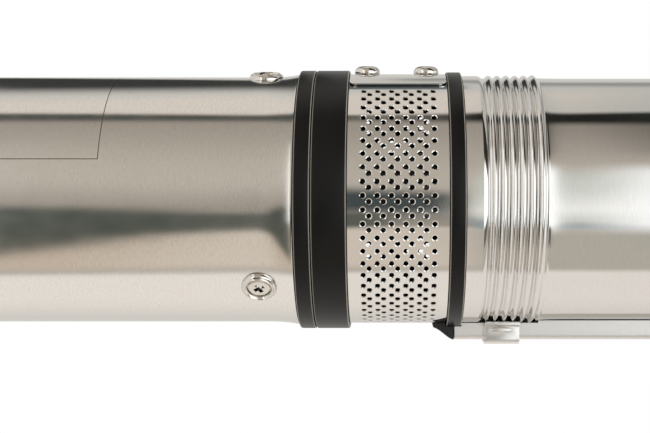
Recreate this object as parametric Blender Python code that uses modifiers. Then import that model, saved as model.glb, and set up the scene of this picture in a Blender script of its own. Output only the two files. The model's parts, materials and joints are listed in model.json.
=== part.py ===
"""Borehole submersible pump: an oil-filled motor below, the perforated inlet in the middle, the pump above.

The pump stands on the motor's bottom cap. +Z runs up its shaft, and the origin is the middle of the cap's
underside. The cable guard lies along the barrel on the +X side. All lengths are in metres.
"""

import math

import bmesh
import bpy
from mathutils import Matrix, Vector

MM = 0.001

# Clearances and facets
GAP = 0.3 * MM  # between neighbouring pieces that touch on the real pump
OVERCUT = 1.0 * MM  # how far a cutting tool runs past what it cuts, and a foot into what trims it
MERGE = 0.01 * MM  # points closer than this are one
ROUND = 24  # facets round the casings
STAGE = 16  # facets round the bearings, impellers and bowls
INNER = 12  # facets round the small turned pieces inside
SCREW = 8  # facets round the casing screws

# Barrel, from which the other outside sizes step in or out
barrel_radius = 46.0 * MM
barrel_wall = 1.5 * MM
collar_step = 1.0 * MM
collar_height = 8.2 * MM
thread_depth = 1.1 * MM
thread_pitch = 3.33 * MM
thread_turns = 6
thread_start = 0.4 * MM  # above the collar
stage_count = 3
stage_pitch = 34.0 * MM
inlet_plate_height = 6.0 * MM
spider_height = 10.0 * MM

# Motor casing
motor_step = 0.5 * MM
motor_wall = 1.5 * MM
flare_length = 15.6 * MM  # the tube opens out just below its end ring
flare_rise = 1.1 * MM
cap_height = 12.0 * MM  # what shows of the bottom cap below the tube
cap_chamfer = 3.0 * MM
cap_plate = 5.0 * MM
cap_spigot = 24.0 * MM
cap_wall = 5.0 * MM
vent_radius = 2.0 * MM
vent_circle = 20.0 * MM
vent_count = 4
diaphragm_wall = 1.5 * MM
diaphragm_height = 14.0 * MM
diaphragm_rim = 6.0 * MM
ring_step = 3.0 * MM  # how far the two widest rings stand out from the barrel
motor_ring_height = 5.8 * MM
end_spigot = 30.0 * MM
end_wall = 6.0 * MM
end_web = 7.0 * MM
edge_break = 0.6 * MM  # small chamfer on the moulded rings

# Bearings, the same at both ends of the rotor
bearing_radius = 20.0 * MM
bearing_width = 12.0 * MM
race_thickness = 3.4 * MM
bearing_count = 6
ball_clearance = 0.25 * MM
cage_height = 1.6 * MM
bracket_web = 6.0 * MM
bracket_floor = 3.0 * MM
bracket_wall = 3.5 * MM
bracket_clearance = 4.5 * MM  # round the shaft where it passes a bracket
oil_space = 11.7 * MM  # between the cap and the lower bracket
lead_space = 42.0 * MM  # between the upper bracket and the motor's end

# Stator, winding and rotor
core_length = 130.0 * MM
stator_wall = 20.0 * MM
air_gap = 0.7 * MM
slot_count = 12
slot_width = 5.0 * MM
slot_depth = 9.0 * MM
end_turn_height = 14.0 * MM
end_turn_margin = 6.0 * MM  # bare core outside the winding
winding_space = 16.7 * MM  # between winding and bearing
rotor_ring_height = 7.0 * MM
rotor_ring_step = 3.0 * MM  # the rotor's end rings are this much narrower than its core

# Motor shaft, seal and coupling
journal_radius = 8.5 * MM
rotor_seat_step = 1.5 * MM
stub_step = 1.0 * MM
shaft_tail = 4.0 * MM
seal_seat_width = 6.0 * MM
seal_seat_height = 4.4 * MM
seal_clearance = 2.5 * MM
seal_head_width = 5.7 * MM
seal_head_height = 8.0 * MM
coupling_wall = 5.2 * MM
coupling_length = 30.0 * MM

# Intake: bracket, perforated band and its screws
intake_ring_height = 12.3 * MM
band_step = 1.0 * MM  # outside of the perforated sheet, from the barrel
band_wall = 0.5 * MM
punch_depth = 3.0 * MM  # of the tools that cut the sheet's holes
lap_punch_depth = 6.0 * MM  # of those that cut both sheets of the lap
notch_tool_depth = 10.0 * MM
band_width = 36.1 * MM
band_shoulder = 2.0 * MM
lap_angle = math.radians(205.4)  # where the outer end of the sheet stops
lap_columns = 5  # plain facets under the lap
lap_gap = 0.1 * MM
hole_radius = 1.3 * MM
hole_pitch = 8.4 * MM
hole_margin = 3.6 * MM
upper_ring_step = 2.4 * MM
upper_ring_height = 5.5 * MM
bracket_depth = 16.0 * MM  # from the barrel in to the bracket's bore
rib_count = 5
rib_thickness = 7.0 * MM
rib_depth = 12.0 * MM
spigot_wall = 6.0 * MM
band_screw_angle = math.radians(183.0)
band_screw_low = 6.5 * MM  # lower screw above the middle ring
band_screw_high = 7.3 * MM  # upper screw below the upper ring
notch_width = 14.0 * MM  # where the supply cable leaves the band
notch_height = 7.0 * MM

# Hydraulics
return_passage = 7.9 * MM  # between impeller and bowl
eye_width = 4.5 * MM
shroud = 1.8 * MM
vane_height = 6.0 * MM
vane_thickness = 1.6 * MM
vane_count = 5
vane_sweep = math.radians(75)
vane_margin = 1.0 * MM  # between a vane's ends and the edges of the shrouds
hub_wall = 3.5 * MM
hub_height = 16.0 * MM
hub_taper = 1.05 * MM  # the hub narrows to its foot by this much
running_gap = 1.0 * MM
bowl_wall = 2.0 * MM
bowl_web = 2.0 * MM
guide_vane_count = 5
guide_vane_sweep = math.radians(-55)
guide_vane_margin = 2.0 * MM  # from the impeller's eye out to the guide vanes
hex_radius = 7.0 * MM  # across the corners of the hexagonal pump shaft
sleeve_wall = 2.6 * MM
bush_wall = 2.6 * MM
spoke_count = 3
spoke_width = 5.0 * MM
spoke_share = 0.8  # of the rim's height
rim_width = 3.0 * MM

# Discharge head and check valve
head_flange_step = 0.6 * MM
head_flange_height = 9.0 * MM
head_cone_height = 20.0 * MM
neck_wall = 4.0 * MM
head_neck_height = 32.0 * MM
head_spigot = 14.0 * MM
head_wall = 4.0 * MM
flat_depth = 3.0 * MM  # of the two wrench flats
flats_height = 12.0 * MM
port_radius = 19.6 * MM
port_depth = 22.0 * MM
chamber_step = 6.4 * MM
lug_thickness = 7.0 * MM
lug_radius = 9.0 * MM
lug_hole_radius = 4.2 * MM
lug_reach = 8.0 * MM  # from the neck out to the hole
lug_rise = 2.0 * MM  # above the foot of the neck
lug_root = 2.0 * MM  # how far the plate starts inside the neck before it is trimmed
seat_relief = 1.0 * MM  # where the head's bore opens out below the valve seat
seat_relief_height = 2.0 * MM
valve_seat_height = 5.0 * MM
valve_seat_width = 8.7 * MM
valve_overlap = 3.0 * MM
valve_disc_height = 3.0 * MM
valve_stem_radius = 2.6 * MM
valve_lift = 8.0 * MM
guide_height = 4.0 * MM
guide_boss_wall = 3.4 * MM
spring_clearance = 2.6 * MM
spring_wire = 0.5 * MM
spring_turns = 4

# Cable guard
guard_rise = 6.8 * MM  # from the barrel to the guard's back
guard_half_width = 8.5 * MM
guard_sheet = 0.8 * MM
guard_corner = 1.6 * MM
clip_sheet = 1.2 * MM
clip_height = 13.1 * MM
clip_foot = math.radians(5.0)
clip_place = 8.9 * MM  # lower clip above the intake bracket's upper ring
boot_rise = 7.8 * MM
boot_on_band = 0.62  # share of the boot that lies on the band
boot_tip = 1.2 * MM  # height of the boot's thin end above the band
boot_foot = (0.3, 1.8)  # where the ramp starts, as a share of the boot, and how many tips high it is there
boot_crown = (0.7, 1.2 * MM)  # where the ramp ends, and how far below the guard's back it is there
top_clip_drop = 26.0 * MM

# Fasteners
screw_shank = 2.0 * MM
cup_radius = 6.5 * MM
cup_height = 1.4 * MM
cup_lip = 1.9 * MM  # width of the cup's flat top
pan_crown = 0.55  # flat share of a pan head's radius
pan_rim = 0.45  # straight share of its height
sunk_crown = 0.8  # flat share of a sunk head's radius
motor_screw_head = 4.4 * MM
motor_screw_height = 1.0 * MM
cap_screw_height = 1.8 * MM
motor_screw_drop = 12.8 * MM  # from the end ring down to the screws
motor_screw_angles = (71.7, 191.7, 311.7)
motor_screw_reach = 9.0 * MM
cap_screw_place = 9.0 * MM  # above the end of the tube
band_screw_head = 4.85 * MM
band_screw_height = 3.0 * MM
band_screw_reach = 9.0 * MM

# Radii that follow from the sizes above
barrel_bore = barrel_radius - barrel_wall
collar_radius = barrel_radius + collar_step
thread_crest = barrel_radius + thread_depth
ring_radius = barrel_radius + ring_step
upper_ring_radius = barrel_radius + upper_ring_step
band_radius = barrel_radius + band_step
bracket_bore = barrel_radius - bracket_depth
guard_outer = barrel_radius + guard_rise
motor_radius = barrel_radius + motor_step
motor_bore = motor_radius - motor_wall
stator_bore = motor_bore - GAP - stator_wall
rotor_radius = stator_bore - air_gap
rotor_seat_radius = journal_radius + rotor_seat_step
stub_radius = journal_radius - stub_step
bracket_hole = journal_radius + bracket_clearance
seal_bore = journal_radius + seal_clearance
seal_radius = seal_bore + seal_seat_width
seal_head_radius = journal_radius + GAP + seal_head_width
coupling_bore = max(stub_radius, hex_radius) + GAP
coupling_radius = coupling_bore + coupling_wall
hub_radius = hex_radius + hub_wall
impeller_eye = hub_radius + eye_width
inlet_eye = impeller_eye + bowl_wall
bowl_radius = barrel_bore - 2 * GAP
impeller_radius = bowl_radius - bowl_wall - return_passage
sleeve_radius = hex_radius + sleeve_wall
head_flange_radius = barrel_radius + head_flange_step
chamber_radius = port_radius + chamber_step
head_neck_radius = chamber_radius + neck_wall
lug_place = head_neck_radius + lug_reach
valve_seat_bore = chamber_radius - GAP - valve_seat_width
valve_disc_radius = valve_seat_bore + valve_overlap
spring_radius = valve_stem_radius + spring_clearance
cup_bore = screw_shank + 2 * GAP

# Heights that follow from the sizes above
tube_base = cap_height + GAP
lower_bracket_place = tube_base + cap_spigot + oil_space
bearing_height = bracket_floor + bearing_width
core_place = lower_bracket_place + bearing_height + winding_space + end_turn_height + GAP
core_top = core_place + core_length
upper_bracket_place = core_top + GAP + end_turn_height + winding_space + bearing_height
tube_top = upper_bracket_place + lead_space + end_spigot + GAP
ring_base = tube_top + GAP
coupling_plane = ring_base + motor_ring_height
intake_base = coupling_plane + GAP
band_base = intake_base + intake_ring_height
band_top = band_base + band_width
upper_ring_top = band_top + upper_ring_height
barrel_base = upper_ring_top + GAP
collar_top = barrel_base + collar_height
thread_base = collar_top + thread_start
thread_top = thread_base + thread_turns * thread_pitch
inlet_plate_base = thread_top + GAP
stages_base = inlet_plate_base + inlet_plate_height + GAP
stages_top = stages_base + stage_count * stage_pitch
spider_top = stages_top + spider_height
head_spigot_base = spider_top + GAP
barrel_top = head_spigot_base + head_spigot
head_base = barrel_top + GAP
cone_base = head_base + head_flange_height
neck_base = cone_base + head_cone_height
head_top = neck_base + head_neck_height
seat_base = head_base
seat_top = seat_base + valve_seat_height
port_base = head_top - port_depth
guide_base = port_base - valve_lift - guide_height - GAP  # the stem never reaches the port
shaft_end = coupling_plane + seal_head_height + GAP + coupling_length / 2


def clear_scene():
    for old in list(bpy.data.objects):
        bpy.data.objects.remove(old)


def surface(name, colour, metallic, roughness):
    """A material with one Principled shader."""
    made = bpy.data.materials.new(name)
    made.use_nodes = True
    shader = made.node_tree.nodes["Principled BSDF"]
    shader.inputs["Base Color"].default_value = (*colour, 1.0)
    shader.inputs["Metallic"].default_value = metallic
    shader.inputs["Roughness"].default_value = roughness
    made.diffuse_color = (*colour, 1.0)
    return made


def place(name, mesh, group, finish=None, parent=None, at=(0, 0, 0), turn=(0, 0, 0)):
    """Puts a mesh in the scene as one named object."""
    made = bpy.data.objects.new(name, mesh)
    groups[group].objects.link(made)
    made.location = at
    made.rotation_euler = turn
    if parent:
        made.parent = parent
    if finish:
        made.data.materials.append(finish)
    if group == "cutters":
        made.hide_render = True
        made.display_type = "WIRE"
    return made


def turned(name, outline, group="parts", finish=None, steps=ROUND, **where):
    """A turned solid. The outline holds (radius, height) and runs down the outer side."""
    mesh = bpy.data.meshes.new(name)
    ends = [(i, i + 1) for i in range(len(outline) - 1)]
    if outline[0][0] > 0:
        ends.append((len(outline) - 1, 0))
    mesh.from_pydata([(r, 0, z) for r, z in outline], ends, [])
    made = place(name, mesh, group, finish, **where)
    screw = made.modifiers.new("turn", "SCREW")
    screw.steps = screw.render_steps = steps
    screw.use_merge_vertices = True
    screw.merge_threshold = MERGE
    return made


def ring(outer, inner, low, high):
    """The outline of a plain ring."""
    return [(outer, high), (outer, low), (inner, low), (inner, high)]


def box(name, size, centre, angle=0.0):
    """A box-shaped tool, turned about the pump's axis by an angle."""
    mesh = bpy.data.meshes.new(name)
    bm = bmesh.new()
    shift = Matrix.Translation(Vector(centre)) @ Matrix.Diagonal((*size, 1))
    bmesh.ops.create_cube(bm, size=1, matrix=Matrix.Rotation(angle, 4, "Z") @ shift)
    bm.to_mesh(mesh)
    bm.free()
    return place(name, mesh, "cutters")


def round_tools(name, radius, depth, matrices, sides=8):
    """Cylinder-shaped tools, one for each matrix, in one object."""
    mesh = bpy.data.meshes.new(name)
    bm = bmesh.new()
    for matrix in matrices:
        bmesh.ops.create_cone(
            bm, cap_ends=True, segments=sides, radius1=radius, radius2=radius, depth=depth, matrix=matrix
        )
    bm.to_mesh(mesh)
    bm.free()
    return place(name, mesh, "cutters")


def outward(angle, radius, height):
    """A frame whose +Z points away from the pump's axis at this angle."""
    turn = Matrix.Rotation(angle, 4, "Z") @ Matrix.Rotation(math.pi / 2, 4, "Y")
    spot = (radius * math.cos(angle), radius * math.sin(angle), height)
    return Matrix.Translation(spot) @ turn


def strips(name, lines, low, high, thickness, group="parts", finish=None):
    """Sheet that follows each line of (x, y) points, with its thickness centred on them."""
    mesh = bpy.data.meshes.new(name)
    bm = bmesh.new()
    for line in lines:
        lower = [bm.verts.new((x, y, low)) for x, y in line]
        upper = [bm.verts.new((x, y, high)) for x, y in line]
        for i in range(len(line) - 1):
            bm.faces.new((lower[i], lower[i + 1], upper[i + 1], upper[i]))
    bm.to_mesh(mesh)
    bm.free()
    made = place(name, mesh, group, finish)
    shell = made.modifiers.new("sheet", "SOLIDIFY")
    shell.thickness = thickness
    shell.offset = 0.0
    shell.use_even_offset = True
    return made


def plate(name, outline, thickness, group="parts", finish=None, **where):
    """A flat outline of (x, y) points with a thickness, as a mesh."""
    curve = bpy.data.curves.new(name, "CURVE")
    curve.dimensions = "2D"
    curve.fill_mode = "BOTH"
    curve.extrude = thickness / 2
    line = curve.splines.new("POLY")
    line.points.add(len(outline) - 1)
    for point, (x, y) in zip(line.points, outline):
        point.co = (x, y, 0, 1)
    line.use_cyclic_u = True
    flat = bpy.data.objects.new(name + "_outline", curve)
    bpy.context.scene.collection.objects.link(flat)
    seen = flat.evaluated_get(bpy.context.evaluated_depsgraph_get())
    mesh = bpy.data.meshes.new_from_object(seen)
    bpy.data.objects.remove(flat)
    weld(mesh)
    return place(name, mesh, group, finish, **where)


def weld(mesh):
    bm = bmesh.new()
    bm.from_mesh(mesh)
    bmesh.ops.remove_doubles(bm, verts=bm.verts, dist=MERGE)
    bmesh.ops.recalc_face_normals(bm, faces=bm.faces)
    bm.to_mesh(mesh)
    bm.free()


def boolean(target, tool, operation="DIFFERENCE"):
    step = target.modifiers.new(tool.name, "BOOLEAN")
    step.operation = operation
    step.object = tool
    return target


def polar(radius, angle):
    return radius * math.cos(angle), radius * math.sin(angle)


def make_bottom_cap():
    spigot = motor_bore - GAP
    cavity = spigot - cap_wall
    outline = [
        (0, cap_plate),
        (cavity, cap_plate),
        (cavity, tube_base + cap_spigot),
        (spigot, tube_base + cap_spigot),
        (spigot, cap_height),
        (motor_radius, cap_height),
        (motor_radius, cap_chamfer),
        (motor_radius - cap_chamfer, 0),
        (0, 0),
    ]
    cap = turned("motor_bottom_cap", outline, finish=black_plastic)
    vents = [
        Matrix.Translation((*polar(vent_circle, 2 * math.pi * (i + 0.5) / vent_count), cap_plate / 2))
        for i in range(vent_count)
    ]
    boolean(cap, round_tools("vent_holes", vent_radius, 2 * cap_plate, vents))
    boolean(cap, radial_holes("cap_screw_holes", tube_base + cap_screw_place))
    rim = cavity - GAP
    crown = rim - diaphragm_rim
    foot = cap_plate + GAP
    top = foot + diaphragm_height
    outline = [
        (0, top),
        (crown, top),
        (crown, foot + diaphragm_wall),
        (rim, foot + diaphragm_wall),
        (rim, foot),
        (crown - diaphragm_wall, foot),
        (crown - diaphragm_wall, top - diaphragm_wall),
        (0, top - diaphragm_wall),
    ]
    turned("breather_diaphragm", outline, finish=rubber, steps=INNER)


def radial_holes(name, height):
    """Three blind holes for the screws that hold a casing end."""
    spots = [
        outward(math.radians(angle), motor_radius, height) for angle in motor_screw_angles
    ]
    return round_tools(name, screw_shank + GAP, 2 * (motor_screw_reach + GAP), spots)


def make_motor_tube():
    flare_base = tube_top - flare_length
    outline = [
        (motor_radius + flare_rise, tube_top),
        (motor_radius, flare_base),
        (motor_radius, tube_base),
        (motor_bore, tube_base),
        (motor_bore, flare_base),
        (motor_bore + flare_rise, tube_top),
    ]
    tube = turned("motor_tube", outline, finish=stainless)
    boolean(tube, radial_holes("lower_tube_holes", tube_base + cap_screw_place))
    boolean(tube, radial_holes("upper_tube_holes", ring_base - motor_screw_drop))


def bearing_bracket(name, face, way):
    """A web that carries a ball bearing. The seat opens towards the rotor, upwards where way is 1."""
    seat = bearing_radius + GAP
    rim = motor_bore - GAP
    outline = [
        (rim, bracket_web),
        (rim, 0),
        (bracket_hole, 0),
        (bracket_hole, bracket_floor),
        (seat, bracket_floor),
        (seat, bracket_floor + bearing_width),
        (seat + bracket_wall, bracket_floor + bearing_width),
        (seat + bracket_wall, bracket_web),
    ]
    if way < 0:
        outline.reverse()
    turned(name, [(r, face + way * z) for r, z in outline], finish=cast_iron)


def bearing_middle(face, way):
    return face + way * (bracket_floor + GAP + bearing_width / 2)


def make_bearing(which, face, way):
    middle = bearing_middle(face, way)
    low = middle - bearing_width / 2
    high = middle + bearing_width / 2
    inner_race = journal_radius + GAP + race_thickness
    outer_race = bearing_radius - race_thickness
    turned(
        which + "_outer_race",
        ring(bearing_radius, outer_race, low, high),
        finish=ground_steel,
        steps=STAGE,
    )
    turned(
        which + "_inner_race",
        ring(inner_race, journal_radius + GAP, low, high),
        finish=ground_steel,
        steps=STAGE,
        parent=shaft_axis,
    )
    clear_race = outer_race * math.cos(math.pi / STAGE)
    ball_circle = (clear_race + inner_race) / 2
    ball_radius = (clear_race - inner_race) / 2 - ball_clearance
    cage_half = ball_radius / 3
    cage = turned(
        which + "_ball_cage",
        ring(
            ball_circle + cage_half,
            ball_circle - cage_half,
            middle - cage_height / 2,
            middle + cage_height / 2,
        ),
        finish=ground_steel,
        steps=INNER,
        parent=shaft_axis,
    )
    mesh = bpy.data.meshes.new(which + "_balls")
    bm = bmesh.new()
    for i in range(bearing_count):
        spot = (*polar(ball_circle, 2 * math.pi * i / bearing_count), middle)
        bmesh.ops.create_uvsphere(
            bm, u_segments=6, v_segments=4, radius=ball_radius, matrix=Matrix.Translation(spot)
        )
    bm.to_mesh(mesh)
    bm.free()
    boolean(cage, place(which + "_balls", mesh, "cutters"), "UNION")


def make_stator():
    bore = stator_bore
    top = core_top
    core = turned(
        "stator_core",
        ring(motor_bore - GAP, bore, core_place, top),
        finish=lamination,
    )
    coil_inner = bore + 2 * GAP
    coil_outer = bore + stator_wall - end_turn_margin
    winding = turned(
        "stator_winding",
        ring(coil_outer, coil_inner, top + GAP, top + GAP + end_turn_height),
        finish=copper,
        steps=INNER,
    )
    low_turns = turned(
        "lower_end_turns",
        ring(
            coil_outer,
            coil_inner,
            core_place - GAP - end_turn_height,
            core_place - GAP,
        ),
        "cutters",
        steps=INNER,
    )
    boolean(winding, low_turns, "UNION")
    for i in range(slot_count):
        angle = 2 * math.pi * (i + 0.5) / slot_count
        slot = box(
            f"slot_{i + 1}",
            (slot_depth + air_gap, slot_width, core_length + 2 * OVERCUT),
            (bore + (slot_depth - air_gap) / 2, 0, core_place + core_length / 2),
            angle,
        )
        boolean(core, slot)
        bar = box(
            f"coil_{i + 1}",
            (slot_depth - 4 * GAP, slot_width - 2 * GAP, core_length + end_turn_height),
            (bore + slot_depth / 2 + GAP, 0, core_place + core_length / 2),
            angle,
        )
        boolean(winding, bar, "UNION")


def make_rotor():
    top = core_top
    bar_ring = rotor_radius - rotor_ring_step
    seat = rotor_seat_radius + GAP
    outline = [
        (bar_ring, top + rotor_ring_height),
        (bar_ring, top),
        (rotor_radius, top),
        (rotor_radius, core_place),
        (bar_ring, core_place),
        (bar_ring, core_place - rotor_ring_height),
        (seat, core_place - rotor_ring_height),
        (seat, top + rotor_ring_height),
    ]
    turned("rotor_core", outline, finish=lamination, steps=INNER, parent=shaft_axis)
    low_face = bearing_middle(lower_bracket_place, 1) + bearing_width / 2
    high_face = bearing_middle(upper_bracket_place, -1) - bearing_width / 2
    stub_base = coupling_plane + seal_head_height
    outline = [
        (0, shaft_end - GAP),
        (stub_radius, shaft_end - GAP),
        (stub_radius, stub_base),
        (journal_radius, stub_base),
        (journal_radius, high_face - GAP),
        (rotor_seat_radius, high_face - GAP),
        (rotor_seat_radius, low_face + GAP),
        (journal_radius, low_face + GAP),
        (journal_radius, lower_bracket_place - shaft_tail),
        (0, lower_bracket_place - shaft_tail),
    ]
    turned("motor_shaft", outline, finish=ground_steel, steps=INNER, parent=shaft_axis)


def make_motor_end():
    """The moulded top of the motor: the lower black ring, its spigot in the tube and the shaft seal."""
    flare_base = tube_top - flare_length
    spigot = motor_bore - GAP
    pocket_floor = coupling_plane - seal_seat_height
    web_floor = pocket_floor - end_web
    outline = [
        (ring_radius - edge_break, coupling_plane),
        (ring_radius, coupling_plane - edge_break),
        (ring_radius, ring_base + edge_break),
        (ring_radius - edge_break, ring_base),
        (spigot + flare_rise, ring_base),
        (spigot, flare_base),
        (spigot, ring_base - end_spigot),
        (spigot - end_wall, ring_base - end_spigot),
        (spigot - end_wall, web_floor),
        (seal_bore, web_floor),
        (seal_bore, pocket_floor),
        (seal_radius + GAP, pocket_floor),
        (seal_radius + GAP, coupling_plane),
    ]
    end = turned("motor_end_ring", outline, finish=black_plastic)
    boolean(end, radial_holes("end_screw_holes", ring_base - motor_screw_drop))
    seat_low = pocket_floor + GAP
    turned(
        "seal_seat",
        ring(seal_radius, seal_bore, seat_low, coupling_plane),
        finish=ceramic,
        steps=INNER,
    )
    turned(
        "seal_head",
        ring(
            seal_head_radius,
            journal_radius + GAP,
            coupling_plane + GAP,
            coupling_plane + seal_head_height,
        ),
        finish=rubber,
        steps=INNER,
        parent=shaft_axis,
    )


def screw_outline(head, height, reach, crown=pan_crown):
    """Outline of a screw's head above 0 and its shank below."""
    return [
        (0, height),
        (head * crown, height),
        (head, height * pan_rim),
        (head, 0),
        (screw_shank, 0),
        (screw_shank, -reach),
        (0, -reach),
    ]


def make_motor_screws():
    tube_outside = motor_radius + flare_rise * (flare_length - motor_screw_drop) / flare_length
    facet = math.cos(math.pi / ROUND)
    washer = [
        (cup_bore + cup_lip, cup_height),
        (cup_radius, GAP),
        (cup_radius, 0),
        (cup_bore, 0),
    ]
    for i, degrees in enumerate(motor_screw_angles):
        angle = math.radians(degrees)
        base = tube_outside + 2 * GAP
        height = ring_base - motor_screw_drop
        turned(
            f"cup_washer_{i + 1}",
            washer,
            finish=bright_steel,
            steps=INNER,
            at=outward(angle, base, height).translation,
            turn=(0, math.pi / 2, angle),
        )
        turned(
            f"motor_screw_{i + 1}",
            screw_outline(motor_screw_head, motor_screw_height, motor_screw_reach + cup_height, sunk_crown),
            finish=bright_steel,
            steps=SCREW,
            at=outward(angle, base + cup_height + GAP, height).translation,
            turn=(0, math.pi / 2, angle),
        )
        turned(
            f"cap_screw_{i + 1}",
            screw_outline(motor_screw_head, cap_screw_height, motor_screw_reach - GAP),
            finish=bright_steel,
            steps=SCREW,
            at=outward(angle, motor_radius * facet + 2 * GAP, tube_base + cap_screw_place).translation,
            turn=(0, math.pi / 2, angle),
        )


def make_intake_bracket():
    """The moulded cage between motor and pump: middle ring, ribs, upper ring and threaded spigot."""
    seat = band_radius - band_wall - GAP
    ledge = band_base + band_shoulder
    outline = [
        (seat, ledge),
        (seat, band_base),
        (ring_radius - edge_break, band_base),
        (ring_radius, band_base - edge_break),
        (ring_radius, intake_base + edge_break),
        (ring_radius - edge_break, intake_base),
        (bracket_bore, intake_base),
        (bracket_bore, ledge),
    ]
    bracket = turned("intake_bracket", outline, finish=black_plastic)
    collar_bore = collar_radius - barrel_wall
    spigot_bore = barrel_bore - GAP - spigot_wall
    outline = [
        (barrel_bore - GAP, thread_top),
        (barrel_bore - GAP, collar_top),
        (collar_bore - GAP, collar_top - GAP),
        (collar_bore - GAP, upper_ring_top),
        (upper_ring_radius - edge_break, upper_ring_top),
        (upper_ring_radius, upper_ring_top - edge_break),
        (upper_ring_radius, band_top + edge_break),
        (upper_ring_radius - edge_break, band_top),
        (seat, band_top),
        (seat, band_top - band_shoulder),
        (spigot_bore, band_top - band_shoulder),
        (spigot_bore, thread_top),
    ]
    boolean(bracket, turned("upper_bracket_ring", outline, "cutters"), "UNION")
    rib_outer = seat - 2 * GAP
    for i in range(rib_count):
        rib = box(
            f"bracket_rib_{i + 1}",
            (rib_depth, rib_thickness, band_width),
            (rib_outer - rib_depth / 2, 0, (band_base + band_top) / 2),
            band_screw_angle + 2 * math.pi * i / rib_count,
        )
        boolean(bracket, rib, "UNION")
    spots = [outward(band_screw_angle, rib_outer, z) for z in band_screw_heights()]
    holes = round_tools("rib_screw_holes", screw_shank + GAP, 2 * (band_screw_reach + GAP), spots)
    boolean(bracket, holes)
    channel_floor = spigot_bore + spigot_wall
    notch = box(
        "cable_notch",
        (ring_radius - channel_floor, notch_width, upper_ring_height + 2 * band_shoulder),
        ((ring_radius + channel_floor) / 2 + GAP, 0, upper_ring_top - upper_ring_height / 2),
    )
    boolean(bracket, notch)


def band_screw_heights():
    return band_base + band_screw_low, band_top - band_screw_high


def make_strainer():
    """Perforated sheet rolled into a ring, its plain outer end lapped over the inner end."""
    step = 2 * math.pi / ROUND
    middle = band_radius - band_wall / 2
    first = math.ceil(lap_angle / step) - 1
    lift = band_wall + lap_gap
    line = [polar(middle + lift, lap_angle)]
    for i in range(ROUND + lap_columns):
        raised = lift if i < lap_columns - 1 else 0.0
        line.append(polar(middle + raised, (first - i) * step))
    low = band_base + GAP
    high = band_top - GAP
    band = strips("strainer_band", [line], low, high, band_wall, finish=polished_sheet)
    rows = int((high - low - 2 * hole_margin) / hole_pitch + 1e-6) + 1
    start = (low + high - (rows - 1) * hole_pitch) / 2
    spots = []
    for i in range(lap_columns, ROUND):
        shift = 0.5 * (i % 2)
        for j in range(rows - i % 2):
            angle = (first - i - 0.5) * step
            spots.append(outward(angle, band_radius, start + (j + shift) * hole_pitch))
    boolean(band, round_tools("strainer_holes", hole_radius, punch_depth, spots, sides=6))
    spots = [outward(band_screw_angle, band_radius, z) for z in band_screw_heights()]
    boolean(band, round_tools("lap_screw_holes", screw_shank + GAP, lap_punch_depth, spots))
    notch = box("band_notch", (notch_tool_depth, notch_width, 2 * notch_height), (band_radius, 0, high))
    boolean(band, notch)
    for i, height in enumerate(band_screw_heights()):
        seat = outward(band_screw_angle, band_radius + lift + GAP, height).translation
        turned(
            f"strainer_screw_{i + 1}",
            screw_outline(band_screw_head, band_screw_height, band_screw_reach),
            finish=bright_steel,
            steps=INNER,
            at=seat,
            turn=(0, math.pi / 2, band_screw_angle),
        )


def make_pump_tube():
    collar_bore = collar_radius - barrel_wall
    outline = [
        (barrel_radius, barrel_top),
        (barrel_radius, thread_top),
        (thread_crest, thread_top - thread_pitch / 2),
        (thread_crest, thread_base + thread_pitch / 2),
        (barrel_radius, thread_base),
        (collar_radius, collar_top),
        (collar_radius, barrel_base),
        (collar_bore, barrel_base),
        (collar_bore, collar_top),
        (barrel_bore, collar_top + GAP),
        (barrel_bore, barrel_top),
    ]
    turned("pump_tube", outline, finish=stainless)


def hexagon(name, low, high):
    """A hexagonal tool that clears the pump shaft."""
    half = hex_radius + GAP
    outline = [(0, high), (half, high), (half, low), (0, low)]
    return turned(name, outline, "cutters", steps=6)


def make_pump_shaft():
    outline = [
        (0, spider_top),
        (hex_radius, spider_top),
        (hex_radius, shaft_end),
        (0, shaft_end),
    ]
    turned("pump_shaft", outline, finish=ground_steel, steps=6, parent=shaft_axis)
    low = coupling_plane + seal_head_height + GAP
    turned(
        "shaft_coupling",
        ring(coupling_radius, coupling_bore, low, low + coupling_length),
        finish=bright_steel,
        steps=INNER,
        parent=shaft_axis,
    )


def vane_lines(count, inner, outer, sweep, points=4):
    """Curved lines from one radius to another, one for each vane."""
    lines = []
    for i in range(count):
        start = 2 * math.pi * i / count
        line = []
        for j in range(points):
            share = j / (points - 1)
            line.append(polar(inner + (outer - inner) * share, start + sweep * share))
        lines.append(line)
    return lines


def make_impeller(number, low):
    """A closed impeller: hub with the upper shroud, vanes, and the lower shroud round the eye."""
    name = f"impeller_{number}"
    base = low + bowl_web + running_gap
    vane_base = base + shroud
    vane_top = vane_base + vane_height
    outline = [
        (0, base + hub_height),
        (hub_radius, base + hub_height),
        (hub_radius, vane_top + shroud),
        (impeller_radius, vane_top + shroud),
        (impeller_radius, vane_top),
        (hub_radius, vane_top),
        (hub_radius - hub_taper, base),
        (0, base),
    ]
    wheel = turned(name, outline, finish=moulded_resin, steps=STAGE, parent=shaft_axis)
    lower = turned(
        name + "_lower_shroud",
        ring(impeller_radius, impeller_eye, base, vane_base),
        "cutters",
        steps=STAGE,
    )
    boolean(wheel, lower, "UNION")
    lines = vane_lines(vane_count, impeller_eye + vane_margin, impeller_radius - vane_margin, vane_sweep)
    vanes = strips(
        name + "_vanes",
        lines,
        vane_base - shroud / 2,
        vane_top + shroud / 2,
        vane_thickness,
        "cutters",
    )
    boolean(wheel, vanes, "UNION")
    boolean(wheel, hexagon(name + "_bore", base - OVERCUT, base + hub_height + OVERCUT))


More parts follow.
